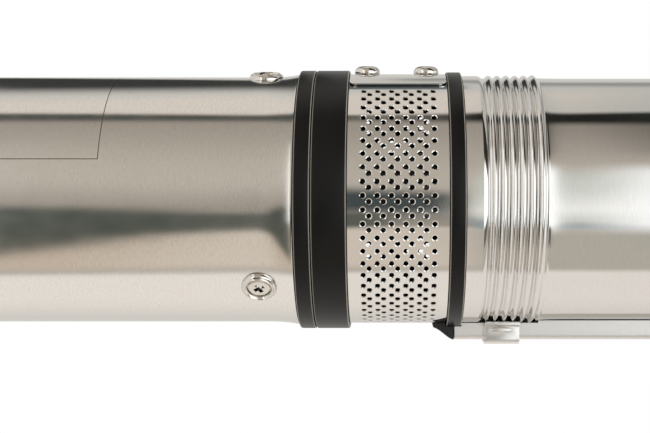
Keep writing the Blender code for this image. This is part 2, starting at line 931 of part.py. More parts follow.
def make_diffuser(number, low):
    """A bowl whose guide vanes carry a middle web and turn the water back to the next eye."""
    name = f"diffuser_{number}"
    inside = bowl_radius - bowl_wall
    wheel_top = low + bowl_web + running_gap + 2 * shroud + vane_height
    web_base = wheel_top + running_gap
    web_top = web_base + bowl_web
    top = low + stage_pitch - GAP
    bowl = turned(name, ring(bowl_radius, inside, low, top), finish=moulded_resin, steps=STAGE)
    web_outer = impeller_radius + running_gap
    web = turned(
        name + "_web",
        ring(web_outer, hub_radius + 2 * GAP, web_base, web_top),
        "cutters",
        steps=STAGE,
    )
    reach = inside + bowl_wall / 2
    lines = vane_lines(guide_vane_count, impeller_eye + guide_vane_margin, reach, guide_vane_sweep)
    vanes = strips(
        name + "_vanes", lines, web_top - bowl_web / 2, top - GAP, vane_thickness, "cutters"
    )
    boolean(vanes, web, "UNION")
    boolean(bowl, vanes, "UNION")


def spider(name, outer, boss, bore, low, high, finish, steps):
    """A rim and a boss joined by spokes, with a bore through the boss."""
    rim = outer - rim_width
    made = turned(name, ring(outer, rim, low, high), finish=finish, steps=steps)
    hub = turned(name + "_boss", ring(boss, bore, low, high), "cutters", steps=INNER)
    boolean(made, hub, "UNION")
    middle = (boss + bore) / 2
    reach = outer - rim_width / 2
    for i in range(spoke_count):
        spoke = box(
            f"{name}_spoke_{i + 1}",
            (reach - middle, spoke_width, (high - low) * spoke_share),
            ((reach + middle) / 2, 0, (low + high) / 2),
            2 * math.pi * i / spoke_count,
        )
        boolean(made, spoke, "UNION")
    return made


def make_stages():
    turned(
        "inlet_plate",
        ring(
            bowl_radius, inlet_eye, inlet_plate_base, inlet_plate_base + inlet_plate_height
        ),
        finish=moulded_resin,
        steps=STAGE,
    )
    for i in range(stage_count):
        low = stages_base + i * stage_pitch
        make_impeller(i + 1, low)
        make_diffuser(i + 1, low)
    sleeve_low = stages_top + GAP
    # The bush clears the corners of the turning sleeve.
    bush_bore = (sleeve_radius + GAP) / math.cos(math.pi / INNER)
    bush = bush_bore + bush_wall
    spider(
        "bearing_spider",
        bowl_radius,
        bush + GAP + bush_wall,
        bush + GAP,
        sleeve_low,
        spider_top,
        moulded_resin,
        STAGE,
    )
    turned(
        "pump_bush",
        ring(bush, bush_bore, sleeve_low, spider_top),
        finish=rubber,
        steps=INNER,
    )
    outline = [
        (0, spider_top),
        (sleeve_radius, spider_top),
        (sleeve_radius, sleeve_low),
        (0, sleeve_low),
    ]
    sleeve = turned("shaft_sleeve", outline, finish=bright_steel, steps=INNER, parent=shaft_axis)
    boolean(sleeve, hexagon("sleeve_bore", sleeve_low - OVERCUT, spider_top + OVERCUT))


def make_head():
    """The cast discharge head with its pipe port and wrench flats, and the two lifting lugs welded to it."""
    spigot = barrel_bore - GAP
    outline = [
        (head_neck_radius - edge_break, head_top),
        (head_neck_radius, head_top - edge_break),
        (head_neck_radius, neck_base),
        (head_flange_radius, cone_base),
        (head_flange_radius, head_base),
        (spigot, head_base),
        (spigot, head_spigot_base),
        (spigot - head_wall, head_spigot_base),
        (spigot - head_wall, seat_base - seat_relief_height),
        (valve_seat_bore + seat_relief, seat_base - GAP),
        (chamber_radius, seat_base - GAP),
        (chamber_radius, port_base),
        (port_radius, port_base),
        (port_radius, head_top),
    ]
    head = turned("discharge_head", outline, finish=cast_steel)
    cut = 2 * head_neck_radius
    for side in (-1, 1):
        flat = box(
            f"wrench_flat_{side}",
            (cut, cut, flats_height),
            (side * (head_neck_radius - flat_depth + cut / 2), 0, head_top - flats_height / 2 + OVERCUT),
        )
        boolean(head, flat)
    outline = [
        (0, head_top),
        (head_neck_radius + GAP, head_top),
        (head_neck_radius + GAP, neck_base),
        (head_flange_radius + GAP, cone_base),
        (0, cone_base),
    ]
    clear = turned("lug_clearance", outline, "cutters")
    lug_height = neck_base + lug_rise
    for side, name in ((-1, "lifting_lug_front"), (1, "lifting_lug_back")):
        lug = plate(
            name,
            lug_outline(side, lug_height),
            lug_thickness,
            finish=cast_steel,
            turn=(math.pi / 2, 0, math.pi / 2),
        )
        boolean(lug, clear)
        eye = Matrix.Translation((0, side * lug_place, lug_height)) @ Matrix.Rotation(math.pi / 2, 4, "Y")
        hole = round_tools(f"{name}_eye", lug_hole_radius, 2 * lug_thickness, [eye], sides=INNER)
        boolean(lug, hole)


def lug_outline(side, height):
    """The rounded ear of a lifting eye, from inside the cone out round the hole."""
    inner = side * (head_neck_radius - lug_root)
    points = [(inner, height - lug_radius)]
    steps = 8
    for i in range(steps + 1):
        angle = math.pi * (i / steps - 0.5)
        points.append(
            (side * (lug_place + lug_radius * math.cos(angle)), height + lug_radius * math.sin(angle))
        )
    points.append((inner, height + lug_radius))
    return points


def make_valve():
    turned(
        "valve_seat",
        ring(chamber_radius - GAP, valve_seat_bore, seat_base, seat_top),
        finish=rubber,
        steps=STAGE,
    )
    disc_low = seat_top + GAP
    disc_high = disc_low + valve_disc_height
    stem_top = guide_base + guide_height
    outline = [
        (0, stem_top),
        (valve_stem_radius, stem_top),
        (valve_stem_radius, disc_high),
        (valve_disc_radius, disc_high),
        (valve_disc_radius, disc_low),
        (0, disc_low),
    ]
    turned("valve_poppet", outline, finish=moulded_resin, steps=INNER, parent=valve_axis)
    spider(
        "valve_guide",
        chamber_radius - GAP,
        valve_stem_radius + GAP + guide_boss_wall,
        valve_stem_radius + GAP,
        guide_base,
        guide_base + guide_height,
        moulded_resin,
        STAGE,
    )
    make_spring(disc_high + GAP, guide_base - GAP)


def make_spring(low, high):
    curve = bpy.data.curves.new("valve_spring", "CURVE")
    curve.dimensions = "3D"
    curve.bevel_depth = spring_wire
    curve.bevel_resolution = 1
    curve.use_fill_caps = True
    per_turn = 8
    count = spring_turns * per_turn + 1
    line = curve.splines.new("POLY")
    line.points.add(count - 1)
    for i, point in enumerate(line.points):
        share = i / (count - 1)
        angle = 2 * math.pi * i / per_turn
        height = low + spring_wire + (high - low - 2 * spring_wire) * share
        point.co = (*polar(spring_radius, angle), height, 1)
    place("valve_spring", curve, "parts", bright_steel)


def clearance_tool():
    """The outside of bracket and barrel with the clearance added, which the guard and boot stand on."""
    top = head_top
    low = intake_base
    outline = [
        (0, top),
        (barrel_radius + GAP, top),
        (barrel_radius + GAP, thread_top + GAP),
        (thread_crest + GAP, thread_top + GAP),
        (thread_crest + GAP, barrel_base),
        (upper_ring_radius + GAP, barrel_base),
        (upper_ring_radius + GAP, band_top - GAP),
        (band_radius + GAP, band_top - GAP),
        (band_radius + GAP, low),
        (0, low),
    ]
    return turned("guard_clearance", outline, "cutters")


def channel_line(back, half, corner, base):
    """Half of a channel's section with its corner cut, then the mirrored half."""
    near = [(base, -half), (back - corner, -half), (back, corner - half)]
    return near + [(x, -y) for x, y in reversed(near)]


def make_guard():
    clear = clearance_tool()
    boot_base = band_top - boot_rise * boot_on_band
    guard_base = boot_base + boot_rise + GAP
    base = math.sqrt(barrel_radius**2 - guard_half_width**2) - OVERCUT
    mid = guard_sheet / 2
    line = channel_line(guard_outer - mid, guard_half_width - mid, guard_corner, base)
    guard = strips("cable_guard", [line], guard_base, barrel_top, guard_sheet, finish=stainless)
    boolean(guard, clear)
    clip_mid = guard_outer + GAP + clip_sheet / 2
    clip_half = guard_half_width + GAP + clip_sheet / 2
    for name, low, rest in (
        ("guard_clip_lower", upper_ring_top + clip_place, thread_crest),
        ("guard_clip_upper", barrel_top - top_clip_drop, barrel_radius),
    ):
        foot = rest + GAP + clip_sheet / 2
        lean = math.asin(clip_half / foot)
        near = [
            polar(foot, -lean - clip_foot),
            polar(foot, -lean),
            (clip_mid - guard_corner, -clip_half),
            (clip_mid, guard_corner - clip_half),
        ]
        line = near + [(x, -y) for x, y in reversed(near)]
        strips(name, [line], low, low + clip_height, clip_sheet, finish=stainless)
    deep = band_radius - OVERCUT
    foot_share, foot_tips = boot_foot
    crown_share, crown_drop = boot_crown
    outline = [
        (deep, boot_base + boot_rise),
        (deep, boot_base),
        (band_radius + boot_tip, boot_base),
        (band_radius + foot_tips * boot_tip, boot_base + boot_rise * foot_share),
        (guard_outer - crown_drop, boot_base + boot_rise * crown_share),
        (guard_outer, boot_base + boot_rise),
    ]
    boot = plate(
        "cable_boot",
        outline,
        2 * guard_half_width,
        finish=black_plastic,
        turn=(math.pi / 2, 0, 0),
    )
    boolean(boot, clear)
    inlet = box(
        "cable_inlet",
        (guard_outer - upper_ring_radius - 2 * guard_sheet, guard_half_width, boot_rise / 2),
        ((guard_outer + upper_ring_radius) / 2, 0, boot_base + boot_rise),
    )
    boolean(boot, inlet)


def smooth_round_pieces():
    for made in groups["parts"].objects:
        if made.type == "MESH" and made.data.polygons:
            made.data.shade_smooth()
            made.data.set_sharp_from_angle(angle=math.radians(35))


clear_scene()
groups = {
    "parts": bpy.data.collections.new("borehole_pump"),
    "cutters": bpy.data.collections.new("cutters"),
}
for group in groups.values():
    bpy.context.scene.collection.children.link(group)

stainless = surface("brushed_stainless", (0.62, 0.61, 0.58), 1.0, 0.28)
polished_sheet = surface("polished_stainless_sheet", (0.66, 0.65, 0.62), 1.0, 0.16)
bright_steel = surface("bright_screw_steel", (0.72, 0.71, 0.68), 1.0, 0.12)
ground_steel = surface("ground_shaft_steel", (0.55, 0.55, 0.55), 1.0, 0.22)
cast_steel = surface("cast_stainless", (0.50, 0.49, 0.47), 1.0, 0.45)
cast_iron = surface("grey_iron", (0.18, 0.18, 0.18), 0.9, 0.6)
lamination = surface("core_steel", (0.22, 0.22, 0.23), 0.9, 0.5)
copper = surface("varnished_copper", (0.50, 0.20, 0.08), 0.9, 0.35)
ceramic = surface("seal_ceramic", (0.80, 0.79, 0.75), 0.0, 0.25)
black_plastic = surface("black_moulded_plastic", (0.015, 0.015, 0.016), 0.0, 0.35)
moulded_resin = surface("pump_stage_resin", (0.05, 0.055, 0.06), 0.0, 0.4)
rubber = surface("black_rubber", (0.02, 0.02, 0.02), 0.0, 0.7)

shaft_axis = bpy.data.objects.new("shaft_axis", None)
valve_axis = bpy.data.objects.new("valve_axis", None)
for empty in (shaft_axis, valve_axis):
    groups["parts"].objects.link(empty)

make_bottom_cap()
make_motor_tube()
bearing_bracket("lower_bearing_bracket", lower_bracket_place, 1)
bearing_bracket("upper_bearing_bracket", upper_bracket_place, -1)
make_bearing("lower", lower_bracket_place, 1)
make_bearing("upper", upper_bracket_place, -1)
make_stator()
make_rotor()
make_motor_end()
make_motor_screws()
make_intake_bracket()
make_strainer()
make_pump_tube()
make_pump_shaft()
make_stages()
make_head()
make_valve()
make_guard()
smooth_round_pieces()
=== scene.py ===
"""Looks for the borehole submersible pump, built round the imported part.

The pump stands upright on its motor: +Z runs up the shaft and the cable guard lies on the +X side. The camera
stands on the -Y side, turned so that +Z is the picture's right and -X its top. Lengths are in metres.
"""

import json
import math
from functools import partial

import bmesh
import bpy
from mathutils import Matrix, Vector


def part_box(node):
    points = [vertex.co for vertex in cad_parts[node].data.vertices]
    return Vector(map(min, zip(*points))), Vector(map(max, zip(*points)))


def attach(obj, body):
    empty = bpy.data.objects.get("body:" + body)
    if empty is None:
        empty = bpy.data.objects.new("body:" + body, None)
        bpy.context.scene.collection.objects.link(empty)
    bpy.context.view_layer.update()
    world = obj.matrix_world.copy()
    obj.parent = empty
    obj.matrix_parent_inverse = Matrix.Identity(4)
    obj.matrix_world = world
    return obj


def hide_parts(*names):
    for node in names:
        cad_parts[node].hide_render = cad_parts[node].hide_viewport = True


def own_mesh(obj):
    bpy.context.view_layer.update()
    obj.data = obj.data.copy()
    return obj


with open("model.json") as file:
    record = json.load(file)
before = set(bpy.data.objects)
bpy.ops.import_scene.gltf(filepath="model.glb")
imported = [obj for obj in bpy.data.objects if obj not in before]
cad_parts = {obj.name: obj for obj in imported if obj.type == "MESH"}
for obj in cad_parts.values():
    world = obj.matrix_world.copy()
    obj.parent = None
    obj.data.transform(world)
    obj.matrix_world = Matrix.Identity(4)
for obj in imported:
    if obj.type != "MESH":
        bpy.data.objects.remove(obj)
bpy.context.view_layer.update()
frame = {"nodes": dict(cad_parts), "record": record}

MM = 0.001
TURN = 2 * math.pi
ROUND_STEPS = 192
SMALL_STEPS = 48


def low(node):
    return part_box(node)[0].z


def high(node):
    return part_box(node)[1].z


def reach(node):
    """How far a node reaches along X: the radius of a round one."""
    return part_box(node)[1].x


# Radii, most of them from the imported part
motor_radius = reach("motor_bottom_cap")
flare_radius = reach("motor_tube")
ring_radius = reach("motor_end_ring")
thread_crest = reach("pump_tube")
thread_depth = 1.1 * MM
barrel_radius = thread_crest - thread_depth
collar_radius = barrel_radius + 1.0 * MM
band_radius = barrel_radius + 1.0 * MM
upper_ring_radius = barrel_radius + 2.4 * MM
flange_radius = reach("discharge_head")
port_radius = 19.6 * MM
neck_radius = port_radius + 10.4 * MM

# Walls and small sizes
gap = 0.3 * MM
tube_wall = 1.5 * MM
band_sheet = 0.5 * MM
lap_gap = 0.2 * MM
moulded_edge = 0.65 * MM
guard_half = 8.5 * MM

# Heights
tube_base, tube_top = low("motor_tube"), high("motor_tube")
ring_base, ring_top = tube_top + gap, high("motor_end_ring")
intake_base = low("intake_bracket")
band_base, band_top = low("strainer_band") - gap, high("strainer_band") + gap
barrel_base, barrel_top = low("pump_tube"), high("pump_tube")
upper_ring_top = barrel_base - gap
collar_top = barrel_base + 8.2 * MM
thread_pitch = 3.33 * MM
thread_turns = 6
thread_top = collar_top + 0.4 * MM + thread_turns * thread_pitch
head_base, head_top = barrel_top + gap, high("discharge_head")

# The camera looks level at the intake. A crest of the thread crosses the +X side half a pitch past 35.93 mm
# above that.
camera_height = 377.3 * MM
crest_height = camera_height + 35.93 * MM + thread_pitch / 2
lap_screw_angle = math.radians(183.0)


def colour(code):
    """A hex colour as a linear RGBA value."""
    parts = [int(code[i : i + 2], 16) / 255 for i in (1, 3, 5)]
    return [p / 12.92 if p <= 0.04045 else ((p + 0.055) / 1.055) ** 2.4 for p in parts] + [1.0]


# Meshes


def bend(start, corner, end, steps):
    """Points of a small arc that cuts a corner."""
    shares = [k / steps for k in range(steps + 1)]
    return [tuple(start * (1 - t) ** 2 + corner * 2 * t * (1 - t) + end * t**2) for t in shares]


def rounded(outline, radius, steps=3):
    """A closed outline with each sharp corner turned into an arc, which takes under half of each side."""
    straight, longest = math.radians(25), 0.45
    result = []
    for i, point in enumerate(outline):
        here = Vector(point)
        back = Vector(outline[i - 1]) - here
        on = Vector(outline[(i + 1) % len(outline)]) - here
        turn = math.pi - back.angle(on)
        if turn < straight:
            result.append(tuple(here))
            continue
        cut = min(radius * math.tan(turn / 2), longest * back.length, longest * on.length)
        result += bend(here + back.normalized() * cut, here, here + on.normalized() * cut, steps)
    return result


def shade(piece, sharp=35):
    """Shades a piece smooth, up to edges that are sharper than an angle in degrees."""
    piece.data.shade_smooth()
    piece.data.set_sharp_from_angle(angle=math.radians(sharp))


def solid(name, mesh):
    made = bpy.data.objects.new(name, mesh)
    bpy.context.scene.collection.objects.link(made)
    return made


def formed(name, form, **sizes):
    """A piece that a function forms in an empty bmesh."""
    bm = bmesh.new()
    form(bm, **sizes)
    mesh = bpy.data.meshes.new(name)
    bm.to_mesh(mesh)
    bm.free()
    return solid(name, mesh)


def shaped(name, points, faces):
    """A piece from its points and faces, with doubles merged and the faces pointing outwards."""
    mesh = bpy.data.meshes.new(name)
    mesh.from_pydata(points, [], faces)
    bm = bmesh.new()
    bm.from_mesh(mesh)
    bmesh.ops.remove_doubles(bm, verts=bm.verts, dist=1e-6)
    bmesh.ops.recalc_face_normals(bm, faces=bm.faces)
    bm.to_mesh(mesh)
    bm.free()
    piece = solid(name, mesh)
    shade(piece)
    return piece


def turned(name, outline, steps=ROUND_STEPS):
    """A turned piece. The outline holds (radius, height) and closes on itself."""
    count = len(outline)
    points, faces = [], []
    for i in range(steps):
        angle = TURN * i / steps
        points += [(r * math.cos(angle), r * math.sin(angle), z) for r, z in outline]
        here, beyond = i * count, (i + 1) % steps * count
        for j in range(count):
            k = (j + 1) % count
            if outline[j][0] or outline[k][0]:
                faces.append([here + j, beyond + j, beyond + k, here + k])
    return shaped(name, points, faces)


def extruded(name, outline, start, end, axis="z"):
    """A flat outline pulled from start to end along an axis."""
    place = {
        "z": lambda a, b, c: (a, b, c),
        "y": lambda a, b, c: (a, c, b),
        "x": lambda a, b, c: (c, a, b),
    }[axis]
    count = len(outline)
    points = [place(a, b, c) for c in (start, end) for a, b in outline]
    faces = [list(range(count)), list(range(count, 2 * count))]
    faces += [[i, (i + 1) % count, count + (i + 1) % count, count + i] for i in range(count)]
    return shaped(name, points, faces)


def block(name, size, centre, angle=0.0):
    """A box-shaped tool, turned about the shaft."""
    place = Matrix.Rotation(angle, 4, "Z") @ Matrix.Translation(centre) @ Matrix.Diagonal((*size, 1))
    return formed(name, bmesh.ops.create_cube, size=1, matrix=place)


def pin(name, radius, depth, place, sides=24):
    """A round tool."""
    sizes = {"segments": sides, "radius1": radius, "radius2": radius, "depth": depth}
    return formed(name, bmesh.ops.create_cone, cap_ends=True, matrix=place, **sizes)


def gather(name, pieces):
    """Puts several pieces' meshes into one."""

    def join(bm):
        for piece in pieces:
            bm.from_mesh(piece.data)
            bpy.data.objects.remove(piece)

    return formed(name, join)


def settle(piece):
    """Turns the piece's modifiers into a plain mesh."""
    graph = bpy.context.evaluated_depsgraph_get()
    mesh = bpy.data.meshes.new_from_object(piece.evaluated_get(graph))
    piece.modifiers.clear()
    piece.data = mesh
    mesh.name = piece.name
    return piece


def carve(piece, tool, operation="DIFFERENCE"):
    """Cuts a tool from a piece, or joins it on, and drops the tool."""
    cut = piece.modifiers.new("carve", "BOOLEAN")
    cut.object = tool
    cut.operation = operation
    cut.solver = "EXACT"
    settle(piece)
    bpy.data.objects.remove(tool)
    shade(piece)
    return piece


def softened(piece, width, segments):
    """Rounds the edges of a piece that turn by more than 50 degrees."""
    soft = piece.modifiers.new("edges", "BEVEL")
    soft.width = width
    soft.segments = segments
    soft.limit_method = "ANGLE"
    soft.angle_limit = math.radians(50)
    return settle(piece)


def grown(piece, tree, **values):
    """Runs a node tree on a piece with its named inputs and keeps the result as a plain mesh."""
    modifier = piece.modifiers.new(tree.name, "NODES")
    modifier.node_group = tree
    for item in tree.interface.items_tree:
        if item.item_type == "SOCKET" and item.in_out == "INPUT" and item.name in values:
            modifier[item.identifier] = values.pop(item.name)
    if values:
        raise KeyError(f"{tree.name} has no input {sorted(values)}")
    return settle(piece)


def mount(piece, finish, slot, *replaced, body="casing"):
    """Gives a finished piece its material, the body it rides on and the nodes that it stands for."""
    piece.data.materials.clear()
    piece.data.materials.append(finish)
    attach(piece, body)
    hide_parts(*replaced)


# Nodes: the kinds used most, then one function that adds any kind

MATHS, VECTOR, RANGE = "ShaderNodeMath", "ShaderNodeVectorMath", "ShaderNodeMapRange"
JOIN, SPLIT, MIX = "ShaderNodeCombineXYZ", "ShaderNodeSeparateXYZ", "ShaderNodeMix"
NOISE, MOVE, REAL = "ShaderNodeTexNoise", "GeometryNodeSetPosition", "GeometryNodeRealizeInstances"
FLOAT, WHOLE, FINISH = "NodeSocketFloat", "NodeSocketInt", "NodeSocketMaterial"


def plug(made, *inputs):
    """Fills a node's inputs, in order among those in use, or by name from a dict.

    A node is linked by its first output in use, a socket as it is. Anything else is set as a value.
    """
    if inputs and isinstance(inputs[0], dict):
        pairs = [(made.inputs[name], value) for name, value in inputs[0].items()]
    else:
        pairs = list(zip([socket for socket in made.inputs if socket.enabled], inputs))
    for socket, value in pairs:
        if isinstance(value, bpy.types.Node):
            value = next(out for out in value.outputs if out.enabled)
        if isinstance(value, bpy.types.NodeSocket):
            made.id_data.links.new(value, socket)
        else:
            socket.default_value = value


def add(tree, kind, *inputs, **settings):
    """Adds a node with its settings and its inputs, as plug takes them."""
    made = tree.nodes.new(kind)
    for name, value in settings.items():
        setattr(made, name, value)
    plug(made, *inputs)
    return made


def start_tree(name, inputs):
    """An empty geometry tree, its named inputs, and what adds nodes to it."""
    tree = bpy.data.node_groups.new(name, "GeometryNodeTree")
    tree.interface.new_socket("Geometry", in_out="INPUT", socket_type="NodeSocketGeometry")
    for label, kind in inputs.items():
        tree.interface.new_socket(label, in_out="INPUT", socket_type=kind)
    tree.interface.new_socket("Geometry", in_out="OUTPUT", socket_type="NodeSocketGeometry")
    return tree, add(tree, "NodeGroupInput").outputs, partial(add, tree)


def end_tree(tree, geometry, finish):
    """Ends a geometry tree: its instances made real, in their material."""
    real = add(tree, REAL, geometry)
    add(tree, "NodeGroupOutput", add(tree, "GeometryNodeSetMaterial", {"Geometry": real, "Material": finish}))
    return tree


def thread_tree():
    """Rolls a round thread into a tube: crests follow a helix and fade out at both ends."""
    tree, given, node = start_tree(
        "rolled_thread",
        {"Pitch": FLOAT, "Depth": FLOAT, "Start": FLOAT, "End": FLOAT, "Phase": FLOAT,
         "Hand": FLOAT, "Inner Limit": FLOAT, "Outer Limit": FLOAT, "Run Out": FLOAT, "Finish": FINISH},
    )
    crest_shape = 0.7
    x, y, z = node(SPLIT, node("GeometryNodeInputPosition")).outputs
    angle = node(MATHS, y, x, operation="ARCTAN2")
    hand = node(MATHS, given["Hand"], TURN, operation="DIVIDE")
    around = node(MATHS, angle, hand, operation="MULTIPLY")
    height = node(MATHS, z, given["Phase"], operation="SUBTRACT")
    along = node(MATHS, height, given["Pitch"], operation="DIVIDE")
    turns = node(MATHS, along, around, operation="SUBTRACT")
    wave = node(MATHS, node(MATHS, turns, TURN, operation="MULTIPLY"), operation="COSINE")
    crest = node(MATHS, node(MATHS, wave, 0.5, 0.5, operation="MULTIPLY_ADD"), crest_shape, operation="POWER")
    fades = []
    for end, way in (("Start", "ADD"), ("End", "SUBTRACT")):
        full = node(MATHS, given[end], given["Run Out"], operation=way)
        fades.append(node(RANGE, z, given[end], full, interpolation_type="SMOOTHSTEP"))
    flat = node(JOIN, x, y)
    radius = node(VECTOR, flat, operation="LENGTH")
    past_inner = node(MATHS, radius, given["Inner Limit"], operation="GREATER_THAN")
    below_outer = node(MATHS, radius, given["Outer Limit"], operation="LESS_THAN")
    inside = node(MATHS, past_inner, below_outer, operation="MULTIPLY")
    full_rise = node(MATHS, crest, given["Depth"], operation="MULTIPLY")
    kept = node(MATHS, node(MATHS, *fades, operation="MULTIPLY"), inside, operation="MULTIPLY")
    rise = node(MATHS, full_rise, kept, operation="MULTIPLY")
    outwards = node(VECTOR, flat, operation="NORMALIZE")
    move = node(VECTOR, outwards, rise, operation="SCALE")
    return end_tree(tree, node(MOVE, {"Geometry": given["Geometry"], "Offset": move}), given["Finish"])


def screws_tree():
    """Sets copies of one screw into a casing, each turned outwards and its cross turned on from the last."""
    tree, given, node = start_tree(
        "screws_in_casing",
        {"Count": WHOLE, "First Angle": FLOAT, "Angle Step": FLOAT, "Radius": FLOAT,
         "Height": FLOAT, "Height Step": FLOAT, "Slot Turn": FLOAT, "Finish": FINISH},
    )
    slot_step = 1.1
    index = node("GeometryNodeInputIndex")
    angle = node(MATHS, index, given["Angle Step"], given["First Angle"], operation="MULTIPLY_ADD")
    height = node(MATHS, index, given["Height Step"], given["Height"], operation="MULTIPLY_ADD")
    way = node(JOIN, node(MATHS, angle, operation="COSINE"), node(MATHS, angle, operation="SINE"))
    out = node(VECTOR, way, given["Radius"], operation="SCALE")
    spot = node(VECTOR, out, node(JOIN, 0.0, 0.0, height))
    line = node("GeometryNodeMeshLine", {"Count": given["Count"]})
    points = node(MOVE, {"Geometry": line, "Position": spot})
    across = node(MATHS, index, slot_step, given["Slot Turn"], operation="MULTIPLY_ADD")
    spin = node("FunctionNodeEulerToRotation", node(JOIN, 0.0, 0.0, across))
    aimed = node("FunctionNodeAlignRotationToVector", {"Vector": way}, axis="Z")
    turn = node("FunctionNodeRotateRotation", aimed, spin, rotation_space="LOCAL")
    set_in = node(
        "GeometryNodeInstanceOnPoints", {"Points": points, "Instance": given["Geometry"], "Rotation": turn}
    )
    return end_tree(tree, set_in, given["Finish"])


def strainer_tree():
    """A flat sheet punched with two interleaved grids of holes, then rolled round the casing and lapped.

    Flat, X runs along the sheet from its outer end, Y across it and Z out through its face.
    """
    tree, given, node = start_tree(
        "perforated_band",
        {"Length": FLOAT, "Width": FLOAT, "Sheet": FLOAT, "Radius": FLOAT, "Base": FLOAT, "End Angle": FLOAT,
         "Hole Radius": FLOAT, "Rim": FLOAT, "Row Step": FLOAT, "Column Step": FLOAT, "Rows": WHOLE,
         "Columns": WHOLE, "First Row": FLOAT, "First Column": FLOAT, "Shift Along": FLOAT,
         "Shift Across": FLOAT, "Lap": FLOAT, "Lap Lift": FLOAT, "Lap Ramp": FLOAT, "Corner": FLOAT,
         "Finish": FINISH},
    )
    x, y, z = node(SPLIT, node("GeometryNodeInputPosition")).outputs
    size = node(JOIN, given["Length"], given["Width"], given["Sheet"])
    # Columns enough for a clean roll, and rows enough for the round corners
    slab = node("GeometryNodeMeshCube", {"Size": size, "Vertices X": 260, "Vertices Y": 40, "Vertices Z": 2})
    half = node(VECTOR, size, (0.5, 0.5, -0.5), operation="MULTIPLY")
    sheet = node(MOVE, {"Geometry": slab, "Offset": half})

    # The outer end's corners are rounded by pulling its columns in where they near an edge of the sheet.
    half_width = node(MATHS, given["Width"], 0.5, operation="MULTIPLY")
    aside = node(MATHS, node(MATHS, y, half_width, operation="SUBTRACT"), operation="ABSOLUTE")
    from_edge = node(MATHS, half_width, aside, operation="SUBTRACT")
    short = node(MATHS, given["Corner"], from_edge, operation="SUBTRACT")
    near = node(MATHS, short, 0.0, operation="MAXIMUM")
    squares = [node(MATHS, side, 2.0, operation="POWER") for side in (given["Corner"], near)]
    arc = node(MATHS, node(MATHS, *squares, operation="SUBTRACT"), operation="SQRT")
    pull = node(MATHS, given["Corner"], arc, operation="SUBTRACT")
    pulled_length = node(MATHS, given["Corner"], 3.0, operation="MULTIPLY")
    share = node(MATHS, 1.0, node(MATHS, x, pulled_length, operation="DIVIDE"), operation="SUBTRACT")
    shift = node(MATHS, pull, node(MATHS, share, 0.0, operation="MAXIMUM"), operation="MULTIPLY")
    sheet = node(MOVE, {"Geometry": sheet, "Offset": node(JOIN, shift)})

    # A punch: a pin that widens where it meets the sheet's face, for the burnished rim round each hole.
    punch_sides, punch_sheets, widening = 14, 6.0, 1.6
    punch = node(
        "GeometryNodeMeshCylinder",
        {"Vertices": punch_sides, "Side Segments": 2, "Radius": given["Hole Radius"],
         "Depth": node(MATHS, given["Sheet"], punch_sheets, operation="MULTIPLY")},
        fill_type="NGON",
    )
    raised = node(MATHS, z, 0.0, operation="MAXIMUM")
    rate = node(MATHS, widening, given["Hole Radius"], operation="DIVIDE")
    flare = node(MATHS, raised, rate, operation="MULTIPLY")
    wide = node(VECTOR, node(JOIN, x, y), flare, operation="SCALE")
    drop = node(JOIN, 0.0, 0.0, node(MATHS, given["Rim"], -widening, operation="DIVIDE"))
    punch = node(MOVE, {"Geometry": punch, "Offset": node(VECTOR, wide, drop)})

    fewer = node(MATHS, given["Columns"], 1.0, operation="SUBTRACT")
    centres = node("GeometryNodeJoinGeometry")
    for columns, along, across in (
        (given["Columns"], 0.0, 0.0),
        (fewer, given["Shift Along"], given["Shift Across"]),
    ):
        spans, starts = [], []
        for line, count, shift in (("Row", given["Rows"], along), ("Column", columns, across)):
            steps = node(MATHS, count, 1.0, operation="SUBTRACT")
            span = node(MATHS, steps, given[line + " Step"], operation="MULTIPLY")
            middle = node(MATHS, span, 0.5, given["First " + line], operation="MULTIPLY_ADD")
            spans.append(span)
            starts.append(node(MATHS, middle, shift, operation="ADD"))
        grid = node("GeometryNodeMeshGrid", *spans, given["Rows"], columns)
        plug(centres, node(MOVE, {"Geometry": grid, "Offset": node(JOIN, *starts)}))
    punches = node(REAL, node("GeometryNodeInstanceOnPoints", {"Points": centres, "Instance": punch}))
    punched = node(
        "GeometryNodeMeshBoolean", {"Mesh 1": sheet, "Mesh 2": punches},
        operation="DIFFERENCE", solver="EXACT",
    )

    # Faces of the flat sheet are marked before it is rolled, for their normals.
    nearly_one = 0.999
    facing = node(SPLIT, node("GeometryNodeInputNormal")).outputs[2]
    flat = node(MATHS, node(MATHS, facing, operation="ABSOLUTE"), nearly_one, operation="GREATER_THAN")
    marked = node(
        "GeometryNodeStoreNamedAttribute", {"Geometry": punched, "Name": "sheet_face", "Value": flat},
        data_type="BOOLEAN", domain="FACE",
    )

    turn = node(MATHS, x, given["Radius"], operation="DIVIDE")
    angle = node(MATHS, given["End Angle"], turn, operation="SUBTRACT")
    ramp = node(MATHS, given["Lap"], given["Lap Ramp"], operation="SUBTRACT")
    lift = node(RANGE, x, ramp, given["Lap"], given["Lap Lift"], 0.0, interpolation_type="SMOOTHSTEP")
    radius = node(MATHS, node(MATHS, given["Radius"], lift, operation="ADD"), z, operation="ADD")
    ways = [node(MATHS, angle, operation=way) for way in ("COSINE", "SINE")]
    flat_spot = [node(MATHS, radius, way, operation="MULTIPLY") for way in ways]
    spot = node(JOIN, *flat_spot, node(MATHS, y, given["Base"], operation="ADD"))
    return end_tree(tree, node(MOVE, {"Geometry": marked, "Position": spot}), given["Finish"])


# Materials


def principled(name, base, metallic, roughness):
    """A plain material, its shader, and what adds nodes to it."""
    made = bpy.data.materials.new(name)
    made.use_nodes = True
    made.diffuse_color = colour(base)
    shader = made.node_tree.nodes["Principled BSDF"]
    plug(shader, {"Base Color": colour(base), "Metallic": metallic, "Roughness": roughness})
    return made, shader, partial(add, made.node_tree)


